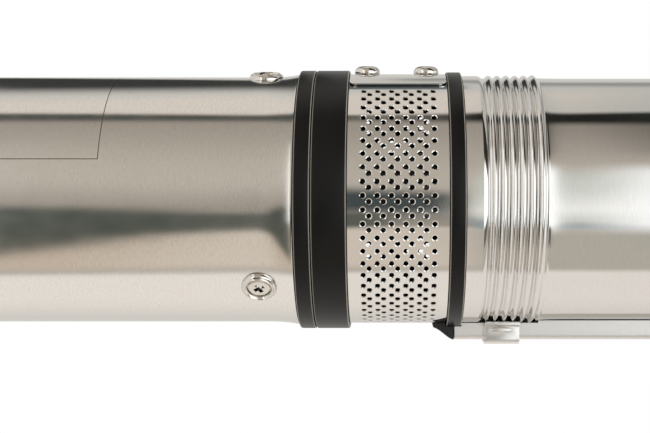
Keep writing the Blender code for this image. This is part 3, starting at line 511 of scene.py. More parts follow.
def object_place(node, scale):
    """Object coordinates in the pattern's own units: a scale of 1 / size repeats it at that size."""
    return node("ShaderNodeMapping", {"Vector": node("ShaderNodeTexCoord").outputs["Object"], "Scale": scale})


def rolled_steel(name, base, dark, roughness, grain, grain_length, depth, spread=0.5):
    """Stainless sheet, worked so that its grain runs round the tube: reflections smear along the shaft."""
    cloud_scale = (30, 30, 22)  # clouds of 33 mm across the shaft and 45 mm along it
    made, shader, node = principled(name, base, 1.0, roughness)
    place = object_place(node, (1 / grain_length, 1 / grain_length, 1 / grain))
    scratches = node(NOISE, {"Vector": place, "Detail": 3.0, "Roughness": 0.6})
    clouds = node(NOISE, {"Vector": object_place(node, cloud_scale), "Detail": 2.0})
    # The noise lies mostly between 0.3 and 0.7. Its upper part is the darker colour.
    share = node(RANGE, scratches, 0.42, 0.68, 0.0, 1.0)
    scratched = node(RANGE, scratches, 0.3, 0.7, roughness * 0.8, roughness * 1.25)
    clouded = node(RANGE, clouds, 0.3, 0.7, -0.015, 0.02)
    plug(
        shader,
        {"Anisotropic": spread,
         "Tangent": node(JOIN, 0.0, 0.0, 1.0),
         "Base Color": node(MIX, share, colour(base), colour(dark), data_type="RGBA"),
         "Roughness": node(MATHS, scratched, clouded, operation="ADD"),
         "Normal": node("ShaderNodeBump", {"Height": scratches, "Distance": depth})},
    )
    return made


def speckled(name, base, other, metallic, roughness, grain, depth):
    """A cast or moulded skin: fine mottled colour, roughness and bump at one grain size."""
    made, shader, node = principled(name, base, metallic, roughness)
    fine = node(NOISE, {"Vector": object_place(node, (1 / grain,) * 3), "Detail": 4.0})
    broad = node(NOISE, {"Vector": object_place(node, (1 / (12 * grain),) * 3), "Detail": 2.0})
    blend = node(MATHS, fine, 0.5, node(MATHS, broad, 0.5, operation="MULTIPLY"), operation="MULTIPLY_ADD")
    share = node(RANGE, blend, 0.25, 0.75, 0.0, 1.0)
    plug(
        shader,
        {"Base Color": node(MIX, share, colour(base), colour(other), data_type="RGBA"),
         "Roughness": node(RANGE, share, 0.0, 1.0, roughness * 0.85, roughness * 1.15),
         "Normal": node("ShaderNodeBump", {"Height": fine, "Distance": depth})},
    )
    return made


def painted_over(made, share, code):
    """Mixes a colour over a material's own, by a share."""
    shader = made.node_tree.nodes["Principled BSDF"]
    own = shader.inputs["Base Color"].links[0].from_socket
    plug(shader, {"Base Color": add(made.node_tree, MIX, share, own, colour(code), data_type="RGBA")})


def etched(made, ink, centre_angle, half_angle, bottom, top, line):
    """Adds a dark laser-etched frame line to a casing's colour. The oxide in it is less metallic."""
    node = partial(add, made.node_tree)
    x, y, z = node(SPLIT, node("ShaderNodeTexCoord").outputs["Object"]).outputs
    angle = node(MATHS, y, x, operation="ARCTAN2")
    turn = node(MATHS, angle, centre_angle, operation="SUBTRACT")
    from_centre = node(MATHS, turn, math.pi, -math.pi, operation="WRAP")
    past_side = node(MATHS, node(MATHS, from_centre, operation="ABSOLUTE"), half_angle, operation="SUBTRACT")
    aside = node(MATHS, past_side, motor_radius, operation="MULTIPLY")
    from_middle = node(MATHS, node(MATHS, z, (bottom + top) / 2, operation="SUBTRACT"), operation="ABSOLUTE")
    above = node(MATHS, from_middle, (top - bottom) / 2, operation="SUBTRACT")
    edge = node(MATHS, node(MATHS, aside, above, operation="MAXIMUM"), operation="ABSOLUTE")
    on_line = node(MATHS, edge, line / 2, operation="LESS_THAN")
    painted_over(made, on_line, ink)
    metal = node(MATHS, 1.0, node(MATHS, on_line, 0.7, operation="MULTIPLY"), operation="SUBTRACT")
    plug(made.node_tree.nodes["Principled BSDF"], {"Metallic": metal})


def dulled_inside(made, dull, radius):
    """Paints shade, a dark colour, over a material within a distance of the shaft."""
    node = partial(add, made.node_tree)
    place = node("ShaderNodeTexCoord").outputs["Object"]
    away = node(VECTOR, node(VECTOR, place, (1, 1, 0), operation="MULTIPLY"), operation="LENGTH")
    painted_over(made, node(MATHS, away, radius, operation="LESS_THAN"), dull)


def rubbed_edges(made, pale):
    """Paints a pale highlight on a moulding where its skin turns from the side to an end: its rounded edge.
    """
    node = partial(add, made.node_tree)
    plug(made.node_tree.nodes["Principled BSDF"], {"Specular IOR Level": 0.22})
    facing = node(SPLIT, node("ShaderNodeNewGeometry").outputs["Normal"]).outputs[2]
    turn = node(MATHS, facing, operation="ABSOLUTE")
    # The turn is 0 on the side and 1 on the flat end. The edge is all that lies well between them.
    off_side, off_end = node(RANGE, turn, 0.3, 0.5, 0.0, 1.0), node(RANGE, turn, 0.8, 0.95, 1.0, 0.0)
    painted_over(made, node(MATHS, off_side, off_end, operation="MULTIPLY"), pale)


# Real grain, dents and scratches are 0.02 to 0.1 mm wide, and a pixel of the render covers 0.35 mm. They are
# drawn 0.12 to 0.6 mm wide, so that they show. Laminations and winding wire have their real widths.

# Stainless tube, belt-brushed round its length: a soft satin with short scratches across the shaft.
motor_steel = rolled_steel(
    "brushed_stainless_tube", "#e7e5e2", "#d4d1cd", 0.12, 0.22 * MM, 9 * MM, 0.0035 * MM, 0.6
)
etched(
    motor_steel, "#57493c", centre_angle=math.radians(202.4), half_angle=math.radians(50),
    bottom=214.8 * MM, top=274.8 * MM, line=0.32 * MM,
)
# Stainless tube left bright from drawing, with faint turning lines: clear reflections, a little blurred.
barrel_steel = rolled_steel(
    "bright_drawn_stainless_tube", "#dfdddb", "#d3d0cd", 0.07, 0.2 * MM, 14 * MM, 0.0006 * MM, 0.5
)
# Bright annealed stainless sheet, punched: mirror-like with a trace of rolling grain.
# Its inside is painted a dark grey-brown as shade, so that little light comes back out of the holes.
sheet_steel = rolled_steel(
    "bright_annealed_stainless_sheet", "#e0dedb", "#d7d4d0", 0.05, 0.25 * MM, 12 * MM, 0.0008 * MM, 0.3
)
dulled_inside(sheet_steel, "#3a3835", band_radius - band_sheet / 2)
# Cold-rolled stainless strip, pickled and bent: an even, dull sheen, for the cable guard.
strip_steel = speckled("pickled_stainless_strip", "#e6e4e2", "#dcdad7", 1.0, 0.42, 0.5 * MM, 0.001 * MM)
# The same strip pressed to shape, and so burnished a little: for the guard's clips.
clip_steel = speckled("pressed_stainless_strip", "#e6e4e2", "#dcdad7", 1.0, 0.36, 0.5 * MM, 0.001 * MM)
# Stainless screws, tumbled and passivated: bright with tiny dents.
screw_steel = speckled("tumbled_stainless_screw", "#e0dcd6", "#d0cbc4", 1.0, 0.12, 0.4 * MM, 0.003 * MM)
# The countersunk screws under the cup washers: the same, with painted shade, dark brown, in the cross recess.
sunk_steel = speckled("tumbled_stainless_sunk_screw", "#e0dcd6", "#d0cbc4", 1.0, 0.12, 0.4 * MM, 0.003 * MM)
dulled_inside(sunk_steel, "#1d1a17", motor_radius + 0.6 * MM)
# Glass-filled nylon, moulded: satin black with a fine grain.
black_nylon = speckled("moulded_black_nylon", "#090908", "#0f0f0e", 0.0, 0.34, 0.25 * MM, 0.006 * MM)
# The nylon's rounded edges get a painted highlight: a pale colour where the skin turns from side to end.
rubbed_edges(black_nylon, "#8b867e")
# Rubber, moulded: matt, greyer where it is rubbed.
black_rubber = speckled("moulded_black_rubber", "#121211", "#1a1a19", 0.0, 0.7, 0.4 * MM, 0.01 * MM)
# Investment-cast stainless, shot-blasted: pale grey, even and grainy.
cast_steel = speckled("blasted_cast_stainless", "#bdb9b2", "#a9a59e", 1.0, 0.42, 0.45 * MM, 0.03 * MM)
# Grey iron, machined from sand castings: mid grey, open-grained.
grey_iron = speckled("machined_grey_iron", "#6b6a68", "#545351", 1.0, 0.5, 0.6 * MM, 0.03 * MM)
# Ground shaft steel: fine lines round the shaft.
ground_steel = rolled_steel(
    "ground_shaft_steel", "#a5a3a0", "#8f8d8a", 0.24, 0.12 * MM, 10 * MM, 0.002 * MM, 0.4
)
# Turned steel bar for the shaft coupling behind the perforations, painted dark grey as the shade it sits in.
turned_bar = speckled("turned_steel_bar", "#5a5855", "#484643", 1.0, 0.42, 0.4 * MM, 0.002 * MM)
# Silicon steel laminations, 0.5 mm thick: drawn as fine dark lines across the shaft.
core_steel = rolled_steel(
    "laminated_core_steel", "#77777a", "#4c4c50", 0.42, 0.5 * MM, 200 * MM, 0.02 * MM, 0.0
)
# Enamelled copper wire, dipped in varnish: amber copper in close turns.
copper = rolled_steel("varnished_copper_wire", "#b4652f", "#7c3f1c", 0.3, 0.8 * MM, 60 * MM, 0.1 * MM, 0.0)
# Alumina, lapped: cream and smooth.
ceramic = speckled("lapped_alumina", "#ebe6da", "#e2dccd", 0.0, 0.25, 0.3 * MM, 0.001 * MM)
# Acetal, moulded: dark grey with a slight sheen.
stage_resin = speckled("moulded_dark_acetal", "#35383b", "#2b2e31", 0.0, 0.36, 0.3 * MM, 0.004 * MM)

finishes = {
    "brushed_stainless": motor_steel,
    "barrel_stainless": barrel_steel,
    "strainer_sheet": sheet_steel,
    "bright_steel": screw_steel,
    "ground_steel": ground_steel,
    "cast_stainless": cast_steel,
    "grey_iron": grey_iron,
    "core_steel": core_steel,
    "copper": copper,
    "ceramic": ceramic,
    "black_plastic": black_nylon,
    "stage_resin": stage_resin,
    "rubber": black_rubber,
}
own_finish = {"shaft_coupling": turned_bar}
for subpart in frame["record"]["subparts"]:
    for slot in frame["nodes"][subpart["node"]].material_slots:
        slot.material = own_finish.get(subpart["node"], finishes[subpart["material_slot"]])


# Pieces


def slope(start, end, count=14, power=2.0):
    """Points along a rise between two (radius, height) points that leaves the first one smoothly."""
    shares = [i / count for i in range(count + 1)]
    return [(start[0] + (end[0] - start[0]) * t**power, start[1] + (end[1] - start[1]) * t) for t in shares]


def make_motor_tube():
    flare_length, steps, power = 13 * MM, 18, 2.6
    outer = [(motor_radius, tube_base)]
    outer += slope((motor_radius, tube_top - flare_length), (flare_radius, tube_top), steps, power)
    inner = [(r - tube_wall, z) for r, z in reversed(outer)]
    tube = turned("casing_motor_tube", rounded(outer + inner, 0.3 * MM))
    mount(tube, motor_steel, "brushed_stainless", "motor_tube")


def make_bottom_cap():
    plate, wall, chamfer = 5 * MM, 5 * MM, 3 * MM
    vents, vent_radius, vent_circle = 4, 2 * MM, 20 * MM
    spigot, spigot_top, lip = motor_radius - tube_wall - gap, tube_base + 24 * MM, tube_base - gap
    outline = [
        (0, plate),
        (spigot - wall, plate),
        (spigot - wall, spigot_top),
        (spigot, spigot_top),
        (spigot, lip),
        (motor_radius, lip),
        (motor_radius, chamfer),
        (motor_radius - chamfer, 0),
        (0, 0),
    ]
    cap = turned("casing_bottom_cap", rounded(outline, moulded_edge))
    for i in range(vents):
        angle = TURN * (i + 0.5) / vents
        centre = Vector((vent_circle * math.cos(angle), vent_circle * math.sin(angle), plate / 2))
        carve(cap, pin("vent", vent_radius, 3 * plate, Matrix.Translation(centre)))
    mount(cap, black_nylon, "black_plastic", "motor_bottom_cap")


def make_motor_end_ring():
    wall, bore = 6 * MM, 11 * MM
    spigot, foot = motor_radius - tube_wall - gap, ring_base - 30 * MM
    outline = [
        (ring_radius, ring_top),
        (ring_radius, ring_base),
        (spigot, ring_base),
        (spigot, foot),
        (spigot - wall, foot),
        (spigot - wall, ring_base - wall),
        (bore, ring_base - wall),
        (bore, ring_top),
    ]
    ring = turned("casing_motor_end_ring", rounded(outline, moulded_edge))
    mount(ring, black_nylon, "black_plastic", "motor_end_ring")


def make_intake_bracket():
    """Two moulded rings joined by ribs behind the band. The upper ring's notch lets the cable out."""
    wall, shoulder = 6 * MM, 2 * MM
    rib_count, rib_depth, rib_width, notch_width = 5, 12 * MM, 7 * MM, 14 * MM
    seat = band_radius - band_sheet - gap
    bore = barrel_radius - 16 * MM
    barrel_bore = barrel_radius - tube_wall
    spigot_bore = barrel_bore - gap - wall
    collar_bore = collar_radius - tube_wall - gap
    rings = {
        "lower": [
            (ring_radius, band_base),
            (ring_radius, intake_base),
            (bore, intake_base),
            (bore, band_base + shoulder),
            (seat, band_base + shoulder),
            (seat, band_base),
        ],
        "upper": [
            (upper_ring_radius, upper_ring_top),
            (upper_ring_radius, band_top),
            (seat, band_top),
            (seat, band_top - shoulder),
            (spigot_bore, band_top - shoulder),
            (spigot_bore, thread_top),
            (barrel_bore - gap, thread_top),
            (barrel_bore - gap, collar_top),
            (collar_bore, collar_top - gap),
            (collar_bore, upper_ring_top),
        ],
    }
    lower, upper = [turned(name, rounded(outline, moulded_edge)) for name, outline in rings.items()]
    size = (ring_radius - spigot_bore - wall, notch_width, upper_ring_top - band_top + 2 * shoulder)
    centre = ((ring_radius + spigot_bore + wall) / 2 + gap, 0, (upper_ring_top + band_top) / 2)
    carve(upper, block("notch", size, centre))
    size = (rib_depth, rib_width, band_top - band_base)
    centre = (seat - 2 * gap - rib_depth / 2, 0, (band_base + band_top) / 2)
    angles = [lap_screw_angle + TURN * i / rib_count for i in range(rib_count)]
    ribs = [block("rib", size, centre, angle) for angle in angles]
    bracket = gather("casing_intake_bracket", [lower, upper, *ribs])
    shade(bracket)
    mount(bracket, black_nylon, "black_plastic", "intake_bracket")


def make_strainer():
    name = "casing_strainer_band"
    column_step, row_step = 5.0 * MM, math.radians(6.06) * band_radius
    overlap, first_row = math.radians(32), math.radians(51.4) * band_radius
    band = grown(
        solid(name, bpy.data.meshes.new(name)),
        strainer_tree(),
        **{"Length": band_radius * (TURN + overlap), "Width": band_top - band_base - 2 * gap,
           "Sheet": band_sheet, "Radius": band_radius, "Base": band_base + gap,
           "End Angle": math.radians(208.2), "Hole Radius": 0.92 * MM, "Rim": 0.3 * MM, "Row Step": row_step,
           "Column Step": column_step, "Rows": 51, "Columns": 6, "First Row": first_row,
           "First Column": 5.43 * MM, "Shift Along": -0.43 * row_step, "Shift Across": 0.425 * column_step,
           "Lap": math.radians(42) * band_radius, "Lap Lift": band_sheet + lap_gap, "Lap Ramp": 9 * MM,
           "Corner": 2.2 * MM, "Finish": sheet_steel},
    )
    smooth_sheet(band.data)
    mount(band, sheet_steel, "strainer_sheet", "strainer_band")


def smooth_sheet(mesh):
    """The rolled sheet's faces take the roll's own normals, so that reflections run clean past every hole."""
    marks = mesh.attributes["sheet_face"].data
    normals = [None] * len(mesh.loops)
    for face in mesh.polygons:
        for corner in face.loop_indices:
            spot = mesh.vertices[mesh.loops[corner].vertex_index].co
            out = Vector((spot.x, spot.y, 0)).normalized()
            if marks[face.index].value:
                normals[corner] = out if out.dot(face.normal) > 0 else -out
            else:
                normals[corner] = face.normal.copy()
    mesh.attributes.remove(mesh.attributes["sheet_face"])
    mesh.shade_smooth()
    mesh.normals_split_custom_set(normals)


def hull(bm, points):
    """Forms the tightest skin round some points."""
    for point in points:
        bm.verts.new(point)
    bmesh.ops.convex_hull(bm, input=bm.verts)


def screw_head(name, radius, height, crown, recess, length):
    """A cross-recessed screw standing on its head's underside, Z out. A smaller crown makes a flatter top."""
    rim, shank, dome_steps = 0.22 * height, 2 * MM, 10
    dome = [(0, height)]
    for i in range(1, dome_steps + 1):
        t = math.pi / 2 * i / dome_steps
        dome.append((radius * math.sin(t) ** crown, rim + (height - rim) * math.cos(t)))
    chamfer = rim * 0.4
    outline = dome + [(radius, chamfer), (radius - chamfer, 0), (shank, 0), (shank, -length), (0, -length)]
    head = turned(name, outline, SMALL_STEPS)
    # Each wing of the cross: half its length and width, at its top and its narrower floor
    waist, depth = 0.33 * recess, recess * 1.1
    levels = ((height + MM, recess * 1.1, waist * 1.1), (height - depth, recess * 0.6, waist * 0.8))
    sides = [(sx, sy) for sx in (-1, 1) for sy in (-1, 1)]
    for angle in (0, math.pi / 2):
        turn = Matrix.Rotation(angle, 3, "Z")
        points = [turn @ Vector((sx * long, sy * wide, z)) for z, long, wide in levels for sx, sy in sides]
        carve(head, formed("cross", hull, points=points))
    return head


def make_screws():
    tree = screws_tree()
    bedding = 0.05 * MM
    lap = screw_head("casing_lap_screws", 4.75 * MM, 3.05 * MM, 0.56, 2.4 * MM, 8 * MM)
    seat = band_radius + band_sheet + lap_gap
    packed_head = 4.85 * MM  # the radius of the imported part's pan heads
    lap_low, lap_high = [low(f"strainer_screw_{i}") + packed_head for i in (1, 2)]
    grown(
        lap, tree,
        **{"Count": 2, "First Angle": lap_screw_angle, "Angle Step": 0.0, "Radius": seat + bedding,
           "Height": lap_low, "Height Step": lap_high - lap_low, "Slot Turn": 0.4, "Finish": screw_steel},
    )
    mount(lap, screw_steel, "bright_steel", "strainer_screw_1", "strainer_screw_2")

    cup_seat = motor_radius + 0.25 * MM
    cup_outer, screw_radius = 6.35 * MM, 3.9 * MM
    cup = turned(
        "casing_cup_washers",
        [
            (screw_radius - 0.9 * MM, 0),
            (screw_radius + 0.25 * MM, 0),
            (screw_radius + 0.3 * MM, 0.55 * MM),
            (screw_radius + 0.5 * MM, 0.95 * MM),
            (screw_radius + 0.75 * MM, 1.35 * MM),
            (screw_radius + 1.0 * MM, 1.55 * MM),
            (screw_radius + 1.25 * MM, 1.5 * MM),
            (screw_radius + 1.4 * MM, 1.25 * MM),
            (cup_outer - 0.75 * MM, 1.1 * MM),
            (cup_outer - 0.45 * MM, 0.9 * MM),
            (cup_outer - 0.2 * MM, 0.6 * MM),
            (cup_outer - 0.05 * MM, 0.2 * MM),
            (cup_outer, -0.55 * MM),
            (screw_radius - 0.9 * MM, -0.55 * MM),
        ],
        SMALL_STEPS,
    )
    sunk = screw_head("casing_motor_screws", screw_radius, 0.5 * MM, 0.3, 2.1 * MM, 8 * MM)
    pan = screw_head("casing_cap_screws", 4.4 * MM, 1.8 * MM, 0.62, 2.0 * MM, 6 * MM)
    screw_height, cap_height = ring_base - 12.8 * MM, tube_base + 9 * MM
    for piece, finish, node, seat, height, slot_turn in (
        (cup, screw_steel, "cup_washer", cup_seat, screw_height, 0.0),
        (sunk, sunk_steel, "motor_screw", cup_seat + 0.3 * MM, screw_height, 0.6),
        (pan, screw_steel, "cap_screw", motor_radius + bedding, cap_height, 0.9),
    ):
        grown(
            piece, tree,
            **{"Count": 3, "First Angle": math.radians(71.7), "Angle Step": TURN / 3, "Radius": seat,
               "Height": height, "Height Step": 0.0, "Slot Turn": slot_turn, "Finish": finish},
        )
        mount(piece, finish, "bright_steel", *[f"{node}_{i}" for i in (1, 2, 3)])


def make_pump_tube():
    first_row = collar_top - 0.5 * MM
    outer = [(collar_radius, barrel_base)]
    outer += slope((collar_radius, collar_top - 2.6 * MM), (barrel_radius, first_row))
    # The thread's last turn runs out in a long shallow fillet.
    fillet, fade, fillet_start, fine_length = 0.28 * MM, 3.1 * MM, thread_top - 0.8 * MM, 16 * MM
    step = thread_pitch / 20
    for i in range(1, round((thread_top - first_row + fine_length) / step)):
        z = first_row + i * step
        if z < fillet_start:
            lift = fillet * max(0, 1 - (fillet_start - z) / thread_pitch)
        else:
            lift = fillet * math.exp((fillet_start - z) / fade)
        outer.append((barrel_radius + lift, z))
    outer += [(barrel_radius, barrel_top)]
    inner = [(r - tube_wall, z) for r, z in reversed(outer)]
    tube = turned("casing_pump_tube", outer + inner)
    grown(
        tube, thread_tree(),
        **{"Pitch": thread_pitch, "Depth": thread_crest - barrel_radius, "Start": first_row - 0.2 * MM,
           "End": thread_top + 0.1 * thread_pitch, "Phase": crest_height, "Hand": -1.0, "Inner Limit": 0.0,
           "Outer Limit": 1.0, "Run Out": 0.6 * thread_pitch, "Finish": barrel_steel},
    )
    shade(tube, 60)
    mount(tube, barrel_steel, "barrel_stainless", "pump_tube")


def channel(back, half, corner, foot, wall):
    """The closed section of a bent strip channel with round corners. Its back lies at back along X."""
    outer = [(foot, -half), (back, -half), (back, half), (foot, half)]
    inner = [(foot, half - wall), (back - wall, half - wall), (back - wall, wall - half), (foot, wall - half)]
    section = []
    for points, radius in ((outer, corner), (inner, corner - wall * 0.6)):
        section.append(points[0])
        for before, point, after in zip(points, points[1:], points[2:]):
            here = Vector(point)
            back_way, on_way = Vector(before) - here, Vector(after) - here
            start, end = here + back_way.normalized() * radius, here + on_way.normalized() * radius
            section += bend(start, here, end, 6)
        section.append(points[-1])
    return section


def casing_clearance():
    """The casing's outside with the clearance added, which guard, clips and boot stand on."""
    barrel, crest = barrel_radius + gap, thread_crest + gap / 3
    ring, band = upper_ring_radius + gap / 2, band_radius + gap / 2
    outline = [
        (0, head_top),
        (barrel, head_top),
        (barrel, thread_top + gap),
        (crest, thread_top + gap),
        (crest, barrel_base),
        (ring, barrel_base),
        (ring, band_top - gap),
        (band, band_top - gap),
        (band, intake_base),
        (0, intake_base),
    ]
    return turned("clearance", outline)


def make_guard():
    name, corner, strip, sunk = "cable_guard", 2.2 * MM, 0.8 * MM, 3 * MM
    section = channel(reach(name), guard_half, corner, barrel_radius - sunk, strip)
    guard = extruded("casing_cable_guard", section, low(name), high(name))
    carve(guard, casing_clearance())
    mount(guard, strip_steel, "brushed_stainless", name)


def quarter(x, y, radius, side):
    """A quarter arc round the outer corner of a strap, run from the side wall to the back for side -1."""
    points = []
    for k in range(7):
        t = math.pi / 2 * k / 6
        points.append((x - radius + radius * math.sin(t), y - side * radius + side * radius * math.cos(t)))
    return points if side < 0 else points[::-1]


def make_clip(name, rest):
    """A strap bent over the guard, its feet lying along the casing and its sides pressed with a boss."""
    sheet, corner, edge, foot_rise, foot_steps = 1.2 * MM, 2.0 * MM, 0.25 * MM, 0.6 * MM, 4
    boss_size, boss_out, boss_drop = (1.3 * MM, 0.9 * MM, 4.2 * MM), 1.7 * MM, 0.6 * MM
    back = reach(name)
    half = guard_half + gap + sheet
    foot = rest + gap / 2
    spread = math.radians(5.0)
    lean = math.asin((half - sheet) / foot)
    angles = [lean + spread * (1 - k / foot_steps) for k in range(foot_steps + 1)]
    (near_out, far_out), (near_in, far_in) = [
        [[(r * math.cos(angle), side * r * math.sin(angle)) for angle in angles] for side in (-1, 1)]
        for r in (foot + sheet, foot)
    ]
    wall_foot = (foot + sheet) * math.cos(lean) + foot_rise
    inner = corner - sheet * 0.6
    outline = near_out[:-1] + [(wall_foot, -half)]
    outline += quarter(back, -half, corner, -1) + quarter(back, half, corner, 1)
    outline += [(wall_foot, half)] + far_out[:-1][::-1] + far_in
    outline += quarter(back - sheet, half - sheet, inner, 1)[::-1]
    outline += quarter(back - sheet, sheet - half, inner, -1)[::-1]
    outline += near_in[::-1]
    clip = softened(extruded("casing_" + name, outline, low(name), high(name)), edge, 2)
    middle = (low(name) + high(name)) / 2 - boss_drop
    for side in (-1, 1):
        centre = Matrix.Translation((foot + boss_out, side * half, middle))
        place = centre @ Matrix.Diagonal((*boss_size, 1))
        boss = formed("boss", bmesh.ops.create_uvsphere, u_segments=24, v_segments=16, radius=1, matrix=place)
        carve(clip, boss, "UNION")
    mount(clip, clip_steel, "brushed_stainless", name)


def make_boot():
    """The moulded boot that ramps from the band up to the guard, hollow where the cable turns in."""
    name, ramp_steps = "cable_boot", 16
    base, top, back = low(name), high(name), reach(name)
    tip, rise, roof, edge = band_radius + 1.2 * MM, top - base, 1.6 * MM, 0.7 * MM
    side = [(band_radius - MM, top), (band_radius - MM, base)]
    for i in range(ramp_steps + 1):
        t = i / ramp_steps
        ease = t * t * (3 - 2 * t)
        side.append((tip + (back - tip) * (0.25 * t + 0.75 * ease), base + rise * t))
    boot = softened(extruded("casing_cable_boot", side, -guard_half, guard_half, "y"), edge, 3)
    carve(boot, casing_clearance())
    size = (back - upper_ring_radius - roof, guard_half, rise / 2)
    carve(boot, block("inlet", size, ((back + upper_ring_radius) / 2, 0, top)))
    mount(boot, black_rubber, "black_plastic", name)


def make_head():
    cone_base, neck_base, port_base = head_base + 9 * MM, head_base + 29 * MM, head_top - 22 * MM
    wall, floor, mouth, fillet, rows = 4 * MM, 2 * MM, 18.3 * MM, 1.2 * MM, 70
    bore = neck_radius - wall
    spigot, spigot_low = barrel_radius - tube_wall - gap, low("discharge_head")
    thread = [(port_radius, port_base + (head_top - port_base) * i / rows) for i in range(rows + 1)]
    outline = rounded(
        [
            (neck_radius, head_top),
            (neck_radius, neck_base),
            (flange_radius, cone_base),
            (flange_radius, head_base),
            (spigot, head_base),
            (spigot, spigot_low),
            (spigot - wall, spigot_low),
            (spigot - wall, head_base - floor),
            (mouth, head_base - gap),
            (bore, head_base - gap),
            (bore, port_base),
            (port_radius, port_base),
            (port_radius, head_top),
        ],
        fillet,
        4,
    )
    split = [i for i, point in enumerate(outline) if abs(point[0] - port_radius) < 0.01 * MM]
    outline = outline[: split[0]] + thread + outline[split[-1] + 1 :]
    head = turned("casing_discharge_head", outline)
    # Two flats for a wrench
    flat_depth, cutter, cutter_drop = 3 * MM, (20 * MM, 80 * MM, 14 * MM), 5 * MM
    for side in (-1, 1):
        centre = (side * (neck_radius - flat_depth + cutter[0] / 2), 0, head_top - cutter_drop)
        carve(head, block("flat", cutter, centre))
    # A pipe thread for 1 1/4 inch: 11 crests to the inch
    grown(
        head, thread_tree(),
        **{"Pitch": 2.309 * MM, "Depth": 1.15 * MM, "Start": port_base + 2.5 * MM, "End": head_top - 0.4 * MM,
           "Phase": port_base, "Hand": 1.0, "Inner Limit": port_radius - 0.3 * MM,
           "Outer Limit": port_radius + 0.3 * MM, "Run Out": 1.5 * MM, "Finish": cast_steel},
    )
    shade(head, 40)
    mount(head, cast_steel, "cast_stainless", "discharge_head")


def make_lug(name, side):
    """A lifting ear, welded to the head: a rounded plate with an eye."""
    ear, eye_radius, edge, weld_depth, arc_steps = 9 * MM, 4.2 * MM, 0.8 * MM, 3 * MM, 24
    near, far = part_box(name)
    tip = near.y if side < 0 else far.y
    eye_y, eye_z = tip - side * ear, (near.z + far.z) / 2
    inner = side * (neck_radius - weld_depth)
    outline = [(inner, eye_z - ear)]
    for i in range(arc_steps + 1):
        angle = math.pi * (i / arc_steps - 0.5)
        outline.append((eye_y + side * ear * math.cos(angle), eye_z + ear * math.sin(angle)))
    outline.append((inner, eye_z + ear))
    lug = extruded("casing_" + name, outline, near.x, far.x, "x")
    across = Matrix.Translation((0, eye_y, eye_z)) @ Matrix.Rotation(math.pi / 2, 4, "Y")
    carve(lug, pin("eye", eye_radius, 20 * MM, across, 40))
    shade(softened(lug, edge, 3), 40)
    mount(lug, cast_steel, "cast_stainless", name)


def make_valve_spring():
    """The check valve's coil spring, held at its top."""
    name = "valve_spring"
    wire, turns, per_turn, sides = 0.5 * MM, 4, 40, 12
    base, top = low(name) + wire, high(name) - wire
    coil = reach(name) - wire
    count = turns * per_turn + 1
    rise = (top - base) / (TURN * turns)
    points, faces = [], []
    for i in range(count):
        angle = TURN * i / per_turn
        out = Vector((math.cos(angle), math.sin(angle), 0))
        along = Vector((-coil * out.y, coil * out.x, rise)).normalized()
        up = out.cross(along)
        centre = out * coil + Vector((0, 0, base + rise * angle))
        for k in range(sides):
            t = TURN * k / sides
            points.append(centre + wire * (out * math.cos(t) + up * math.sin(t)))
    for here in range(0, (count - 1) * sides, sides):
        for k in range(sides):
            on, beyond = (k + 1) % sides, here + sides
            faces.append((here + k, here + on, beyond + on, beyond + k))
    faces += [range(sides), range((count - 1) * sides, count * sides)]
    spring = shaped("casing_" + name, points, faces)
    mount(spring, screw_steel, "bright_steel", name)
    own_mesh(spring)


make_motor_tube()
make_bottom_cap()
make_motor_end_ring()
make_intake_bracket()
make_strainer()
make_screws()
make_pump_tube()
make_guard()
make_clip("guard_clip_lower", thread_crest)
make_clip("guard_clip_upper", barrel_radius)
make_boot()
make_head()
make_lug("lifting_lug_front", -1)
make_lug("lifting_lug_back", 1)
make_valve_spring()


# Studio


def make_floor():
    """A pale floor that keeps the pump's shadow and fades to white away from it."""
    fade_start, fade_end, radius = 0.16, 0.45, 0.5
    floor = formed("floor", bmesh.ops.create_circle, cap_ends=True, segments=96, radius=radius)
    made = bpy.data.materials.new("pale_studio_floor")
    made.use_nodes = True
    made.node_tree.nodes.clear()
    node = partial(add, made.node_tree)
    away = node(VECTOR, node("ShaderNodeTexCoord").outputs["Object"], operation="LENGTH")
    fade = node(RANGE, away, fade_start, fade_end, interpolation_type="SMOOTHSTEP")
    paint = node("ShaderNodeBsdfDiffuse", {"Color": colour("#f2f2f1")})
    white = node("ShaderNodeEmission", {"Color": colour("#ffffff")})
    seen = node(MATHS, node("ShaderNodeLightPath").outputs["Is Camera Ray"], fade, operation="MULTIPLY")
    node("ShaderNodeOutputMaterial", {"Surface": node("ShaderNodeMixShader", seen, paint, white)})
    floor.data.materials.append(made)


